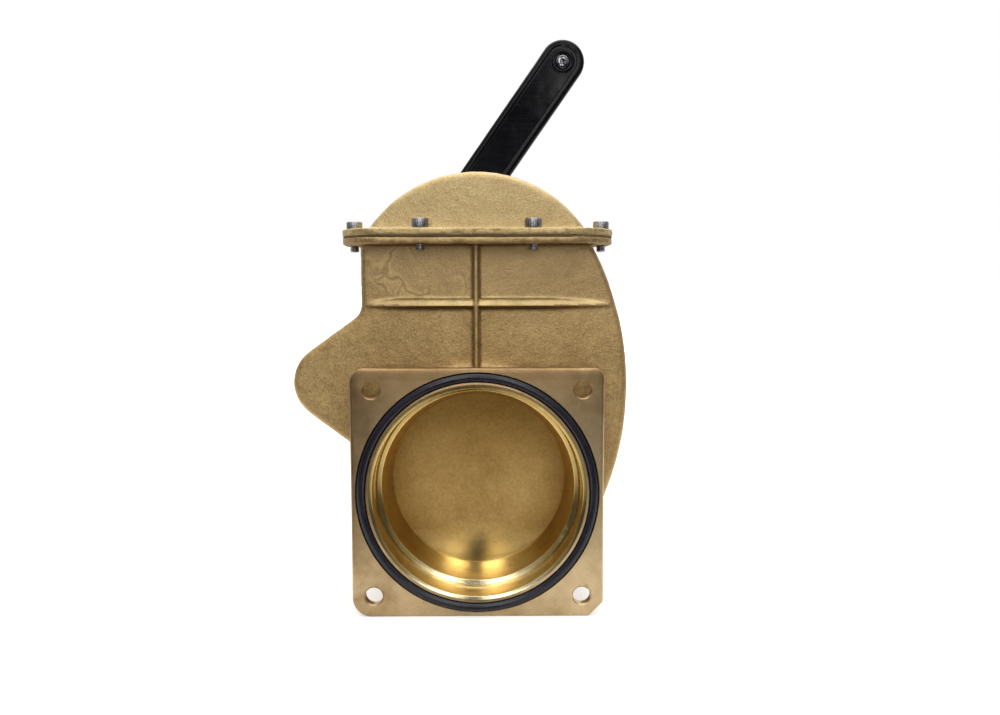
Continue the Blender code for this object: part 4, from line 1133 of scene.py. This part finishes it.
def hex_nut(name, material, y0, y1, flats, hole, collar=None):
    """A hexagon with chamfered corners about the shaft. flats is half its width across flats,
    and collar is the (radius, front Y) of a round collar in front of it."""
    corner = flats / math.cos(math.pi / 6)
    steps = 8
    # (radius, Y, the most that a hexagonal row may reach, or None for a round row)
    rows = [(hole + 0.35, y1, None), (flats - 0.25, y1, None)]
    for i in range(steps + 1):
        reach = flats + (corner - flats) * i / steps
        rows.append((corner, y1 - 0.05 - (reach - flats) * 0.55, reach))
    for i in range(steps + 1):
        reach = corner - (corner - flats) * i / steps
        rows.append((corner, y0 + 0.05 + (reach - flats) * 0.55, reach))
    rows.append((flats - 0.25, y0, None))
    if collar:
        rows += [(collar[0], y0, None), (collar[0], collar[1], None), (hole, collar[1], None)]
    else:
        rows += [(hole + 0.35, y0, None), (hole, y0 + 0.35, None)]
    rows.append((hole, y1 - 0.35, None))

    def shape(k, theta):
        reach = rows[k][2]
        if reach is None:
            return np.ones_like(theta)
        return np.minimum(hexagon(theta, flats), reach) / corner

    return turned(name, [row[:2] for row in rows], material, PIVOT, 144, shape=shape)


def lock_washer(inner=5.15, outer=8.6, y0=74.75, y1=76.2, rounding=0.4):
    c = rounding * 0.6
    profile = [(inner + c, y1), (outer - c, y1), (outer, y1 - c), (outer, y0 + c),
               (outer - c, y0), (inner + c, y0), (inner, y0 + c), (inner, y1 - c)]
    return turned("lever_lock_washer", profile, STEEL, PIVOT, 96)


def shaft():
    """The lever's shaft, from its threaded rear end to its journal at the front."""
    thread_r, pitch, half_square = 4.8, 1.25, 5.0
    thread = []
    y = 82.5
    while y > 75.2:
        thread.append((thread_r, y))
        y -= 0.156
    profile, kinds = unpack_runs([
        ("round", [(0.0, 83.0), (4.0, 83.0), (4.35, 82.8)]),
        ("thread", thread),
        ("round", [(4.2, 75.0), (4.2, 74.45)]),
        ("square", [(4.9, 74.4), (7.0, 74.1), (7.0, 69.4)]),
        ("round", [(7.0, 69.0), (7.0, 33.4), (6.6, 33.0), (6.0, 33.0), (6.0, 26.2),
                   (5.6, 25.8), (0.0, 25.8)]),
    ])

    def shape(k, theta):
        radius, height = profile[k]
        if kinds[k] == "square":
            turn = (theta + LEVER_ANGLE + math.pi / 4) % (math.pi / 2) - math.pi / 4
            return np.minimum(1.0, half_square / (radius * np.cos(turn)))
        if kinds[k] == "thread":
            turn = (height / pitch - theta / (2 * math.pi)) % 1.0
            return 1.0 - 0.66 * np.abs(turn * 2 - 1) ** 1.3 / thread_r
        return np.ones_like(theta)

    return turned("lever_shaft_fine", profile, STEEL, PIVOT, 96, closed=False, shape=shape)


piece(hex_nut("gland_nut", TURNED, y0=65.3, y1=69.0, flats=11.6, hole=7.15, collar=(10.7, 62.6)),
      CASING, "gland_bush")
piece(hex_nut("lever_fixing_nut", STEEL, y0=76.5, y1=81.5, flats=7.95, hole=5.0),
      MOVING, "lever_nut")
piece(lock_washer(), MOVING, "lever_spring_washer")
piece(shaft(), MOVING, "lever_shaft")


# ------------------------------------------------------------------ the gate
def gate_casting(step=0.7):
    """A round plate, with a slot for the arm and two rivet holes."""
    low, high = (-55.5, 34.5, -55.5), (55.5, 49.5, 55.5)
    x, y, z = grid_axes(low, high, step)
    field = slab(distance(x, z) - GATE_R, y - Y_MID, (GATE_Y1 - GATE_Y0) / 2, 0.9)
    along, across = turned_axes(x - PIVOT_X, z - PIVOT_Z, ARM_ANGLE)
    field = cut(field, common(along - 57.3, np.abs(across) - 12.8, np.abs(y - Y_MID) - 2.6))
    for side in (-RIVET_ACROSS, RIVET_ACROSS):
        hole = distance(along - RIVET_ALONG, across - side) - 2.3
        field = cut(field, common(hole, 37.4 - y))

    def roughness(p):
        """Nearly smooth beyond the radius where the gate meets its seats."""
        return np.clip((47.2 - np.hypot(p[:, 0], p[:, 2])) / 1.5, 0, 1) * 0.92 + 0.08

    return field_mesh("gate_plate", field, low, step, GATE, roughness=roughness,
                      noise=((17.0, 0.035, 31), (6.0, 0.010, 33), (2.1, 0.003, 35)))


def gate_rivet(index, side):
    cos, sin = math.cos(ARM_ANGLE), math.sin(ARM_ANGLE)
    at = (PIVOT_X + RIVET_ALONG * cos - side * sin, PIVOT_Z + RIVET_ALONG * sin + side * cos)
    profile = [(0.0, 47.75), (1.5, 47.8), (1.85, 47.6), (2.0, 47.3), (2.0, 38.0), (1.7, 37.7),
               (0.0, 37.7)]
    return turned(f"gate_rivet_{index}", profile, STEEL, at, 48, closed=False)


piece(gate_casting(), MOVING, "gate_disc")
for index, side in ((1, -RIVET_ACROSS), (2, RIVET_ACROSS)):
    piece(gate_rivet(index, side), MOVING, f"gate_pin_{index}")


# ------------------------------------------------------------------ the lever
# It is worked out lying along +X from the shaft, then turned to its closed angle.
def at_lever(points):
    cos, sin = math.cos(LEVER_ANGLE), math.sin(LEVER_ANGLE)
    x, z = points[:, 0], points[:, 2]
    return np.stack([PIVOT_X + x * cos - z * sin, points[:, 1], PIVOT_Z + x * sin + z * cos], 1)


def smoothstep(t):
    t = np.clip(t, 0, 1)
    return t * t * (3 - 2 * t)


def lever_bar(step=0.55):
    """A flat bar that steps back beyond its eye, with a square hole and a screw hole."""
    low, high = (-17.0, 67.5, -17.0), (LEVER_LEN + 7.5, 85.5, 17.0)
    x, y, z = grid_axes(low, high, step)
    eye_y = LEVER_Y0 + LEVER_T / 2
    lift = GRIP_Y - LEVER_T / 2 - LEVER_Y0
    straight = lift * np.clip((x - 27.0) / 18.0, 0, 1)
    eased = lift * smoothstep((x - 24.5) / 23.0)
    middle = eye_y + 0.25 * straight + 0.75 * eased
    slope = np.where((x > 27) & (x < 45), 0.86, 1.0)
    outline = common(np.abs(z) - LEVER_W / 2, -9.5 - x, x - (LEVER_LEN + 6.0))
    field = slab(outline, (y - middle) * slope, LEVER_T / 2, 0.7)
    field = soft_union(field, slab(distance(x, z) - 15.0, y - eye_y, LEVER_T / 2, 0.7), 2.0)
    field = cut(field, common(np.abs(x) - 5.3, np.abs(z) - 5.3, np.abs(y - 72.0) - 6.0))
    field = cut(field, distance(x - LEVER_LEN, z) - 2.3)
    return field_mesh("lever_flat_bar", field, low, step, POWDER, noise=((5.0, 0.05, 41),),
                      place=at_lever)


def lever_grip(step=0.5):
    """The moulded sleeve on the lever's end."""
    low, high = (GRIP_X0 - 2.0, 75.0, -14.5), (LEVER_LEN + 14.5, 87.0, 14.5)
    x, y, z = grid_axes(low, high, step)
    corner = 3.0
    outline = (arc(LEVER_LEN, 0.0, GRIP_W / 2, -90.0, 90.0, 4.0)
               + arc(GRIP_X0 + corner, GRIP_W / 2 - corner, corner, 90.0, 180.0, 15.0)
               + arc(GRIP_X0 + corner, -GRIP_W / 2 + corner, corner, 180.0, 270.0, 15.0))
    flat = polygon_field(outline, x[:, 0, :], z[:, 0, :])[:, None, :]
    field = slab(flat, y - GRIP_Y, GRIP_T / 2, 2.6)
    # moulded rim: both faces sink a little inside a narrow border
    for sign in (-1.0, 1.0):
        depth = GRIP_T / 2 - sign * (y - GRIP_Y)
        field = soft_common(field, -soft_common(flat + 3.3, depth - 0.32, 0.5), 0.35)
    # a pocket for the bar
    gap = 0.3
    field = cut(field, common(np.abs(z) - LEVER_W / 2 - gap, x - (LEVER_LEN + 6.3),
                              np.abs(y - GRIP_Y) - LEVER_T / 2 - gap))
    # a raised lip round the screw's well, on the front
    well = distance(x - LEVER_LEN, z)
    lip = slab(well - 6.1, y - (GRIP_Y - GRIP_T / 2 + 0.15), 0.35, 0.3)
    field = soft_union(field, lip, 0.4)
    field = soft_common(field, -common(well - 4.9, y - (GRIP_Y - LEVER_T / 2 + 0.2)), 0.6)
    return field_mesh("lever_sleeve", field, low, step, BLACK, place=at_lever,
                      noise=((11.0, 0.07, 51), (4.0, 0.03, 53)))


def grip_screw():
    """A domed screw through the bar, with a round recess in its front."""
    at = (PIVOT_X + LEVER_LEN * math.cos(LEVER_ANGLE), PIVOT_Z + LEVER_LEN * math.sin(LEVER_ANGLE))
    seat = GRIP_Y - LEVER_T / 2
    profile = [
        (0.0, GRIP_Y + 2.2), (2.0, GRIP_Y + 2.2), (2.0, seat - 0.25), (4.1, seat - 0.25),
        (4.4, seat - 0.5), (4.3, seat - 0.8), (3.9, seat - 1.15), (3.2, seat - 1.5),
        (2.2, seat - 1.78), (1.7, seat - 1.84), (1.45, seat - 1.6), (1.2, seat - 0.6),
        (0.0, seat - 0.45),
    ]
    return turned("sleeve_screw_dome", profile, DARK_STEEL, at, 72, closed=False)


piece(lever_bar(), MOVING, "lever_bar")
piece(lever_grip(), MOVING, "lever_grip")
piece(grip_screw(), MOVING, "grip_screw")


# ------------------------------------------------------------------ the CAD pieces that stay
LOOK = {"cast_bronze": BODY, "cast_cover": COVER, "turned_bronze": TURNED, "gate_bronze": GATE,
        "stainless_steel": STEEL, "lever_steel": POWDER, "nitrile_rubber": RUBBER,
        "gasket_sheet": SHEET, "black_sleeve": BLACK}
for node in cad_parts.values():
    if not node.hide_render:
        for holder in node.material_slots:
            key = holder.material.name.split(".")[0] if holder.material else None
            holder.material = LOOK.get(key, STEEL)
        node.data.set_sharp_from_angle(angle=SHARP_ANGLE)


# ------------------------------------------------------------------ floor, light and camera
def floor_material():
    """Near white with a soft contact shadow to the camera. What the metal reflects is pale close
    to the valve and falls away in front of it."""
    material, k, shader = new_material("floor_white")
    k.tree.nodes.remove(shader)
    x, y, _ = k.xyz
    paint, glow = k.new("ShaderNodeBsdfDiffuse"), k.new("ShaderNodeEmission")
    white = k.new("ShaderNodeAddShader")
    paint.inputs["Color"].default_value = (0.92, 0.92, 0.92, 1.0)
    k.link(k.span(k.length(x, y), start=0.25, end=1.6, low=0.36), glow.inputs["Strength"])
    k.link(paint.outputs[0], white.inputs[0])
    k.link(glow.outputs[0], white.inputs[1])
    reflected = k.new("ShaderNodeBsdfDiffuse")
    near = k.span(y, start=-0.24, end=-0.05, low=0.06, high=0.95)
    # painted shadow: a dark stripe down the middle of the floor, in front of the valve, seen only
    # in reflections
    stripe = k.times(k.bell(x, sharpness=4200.0), k.span(y, start=-0.004, end=-0.02))
    near = k.times(near, k.math("SUBTRACT", 1.0, stripe))
    grey = k.new("ShaderNodeCombineXYZ")
    for socket in grey.inputs:
        k.link(near, socket)
    k.link(grey.outputs[0], reflected.inputs["Color"])
    choose, path = k.new("ShaderNodeMixShader"), k.new("ShaderNodeLightPath")
    k.link(path.outputs["Is Camera Ray"], choose.inputs[0])
    k.link(reflected.outputs[0], choose.inputs[1])
    k.link(white.outputs[0], choose.inputs[2])
    k.link(choose.outputs[0], k.tree.nodes["Material Output"].inputs["Surface"])
    return material


def floor():
    shape = bmesh.new()
    bmesh.ops.create_grid(shape, x_segments=2, y_segments=2, size=30.0)
    data = bpy.data.meshes.new("floor")
    shape.to_mesh(data)
    shape.free()
    add("floor", data, floor_material())


def soft_box(name, at, towards, size, radiance):
    """A soft box that shows with this brightness in a mirror. The camera doesn't see it."""
    data = bpy.data.lights.new(name, "AREA")
    data.shape, data.size, data.size_y = "RECTANGLE", size[0], size[1]
    data.energy = radiance * math.pi * size[0] * size[1]
    obj = bpy.data.objects.new(name, data)
    bpy.context.scene.collection.objects.link(obj)
    obj.location = Vector(at)
    obj.rotation_euler = (Vector(towards) - Vector(at)).to_track_quat("-Z", "Y").to_euler()
    obj.visible_camera = False


def lights():
    for side, label in ((-1.0, "left"), (1.0, "right")):
        soft_box(f"front_strip_{label}", at=(side * 0.093, -0.74, 0.175),
                 towards=(side * 0.07, 0.0, 0.10), size=(0.096, 0.19), radiance=4.2)
        soft_box(f"high_strip_{label}", at=(side * 0.150 + 0.02, -0.60, 0.52),
                 towards=(side * 0.03, 0.03, 0.03), size=(0.148, 0.42), radiance=3.6)
    soft_box("top_box", at=(0.0, 0.15, 1.0), towards=(0.0, 0.08, 0.10), size=(1.25, 1.2),
             radiance=1.5)


def studio_world():
    """White to the camera. The light grows upwards and behind the valve."""
    world = bpy.data.worlds.new("studio")
    bpy.context.scene.world = world
    world.use_nodes = True
    world.node_tree.nodes.clear()
    k = Kit(world.node_tree, "Generated")
    out = k.new("ShaderNodeOutputWorld")
    seen, lit = k.new("ShaderNodeBackground"), k.new("ShaderNodeBackground")
    seen.inputs["Color"].default_value = (1.0, 1.0, 1.0, 1.0)
    x, y, z = k.xyz
    height = k.span(z, start=-0.1, end=0.8, low=0.10, high=0.62)
    behind = k.span(y, start=-0.15, end=0.7, high=0.55)
    # whoever stands behind the camera shows as a dark band in the bright metal
    band = k.times(k.bell(x, sharpness=230.0), k.span(y, start=-0.55, end=-0.80, high=0.92),
                   k.span(z, start=0.90, end=0.76))
    strength = k.times(k.math("ADD", height, behind), k.math("SUBTRACT", 1.0, band))
    k.link(strength, lit.inputs["Strength"])
    lit.inputs["Color"].default_value = (1.0, 0.99, 0.975, 1.0)
    path, choose = k.new("ShaderNodeLightPath"), k.new("ShaderNodeMixShader")
    k.link(path.outputs["Is Camera Ray"], choose.inputs[0])
    k.link(lit.outputs[0], choose.inputs[1])
    k.link(seen.outputs[0], choose.inputs[2])
    k.link(choose.outputs[0], out.inputs["Surface"])


def add_camera():
    data = bpy.data.cameras.new("camera")
    data.sensor_width, data.lens = 36.0, 30.6
    data.clip_start, data.clip_end = 0.02, 100.0
    camera = bpy.data.objects.new("camera", data)
    bpy.context.scene.collection.objects.link(camera)
    pitch, yaw, roll = math.radians(5.14), math.radians(0.36), math.radians(-0.13)
    camera.matrix_world = (
        Matrix.Translation((0.009, -0.4275, 0.1725))
        @ Matrix.Rotation(-yaw, 4, "Z")
        @ Matrix.Rotation(math.pi / 2 - pitch, 4, "X")
        @ Matrix.Rotation(roll, 4, "Z")
    )
    bpy.context.scene.camera = camera


floor()
lights()
studio_world()
view = bpy.context.scene.view_settings
view.view_transform = "Standard"
view.look = "None"
view.exposure = 0.0
add_camera()
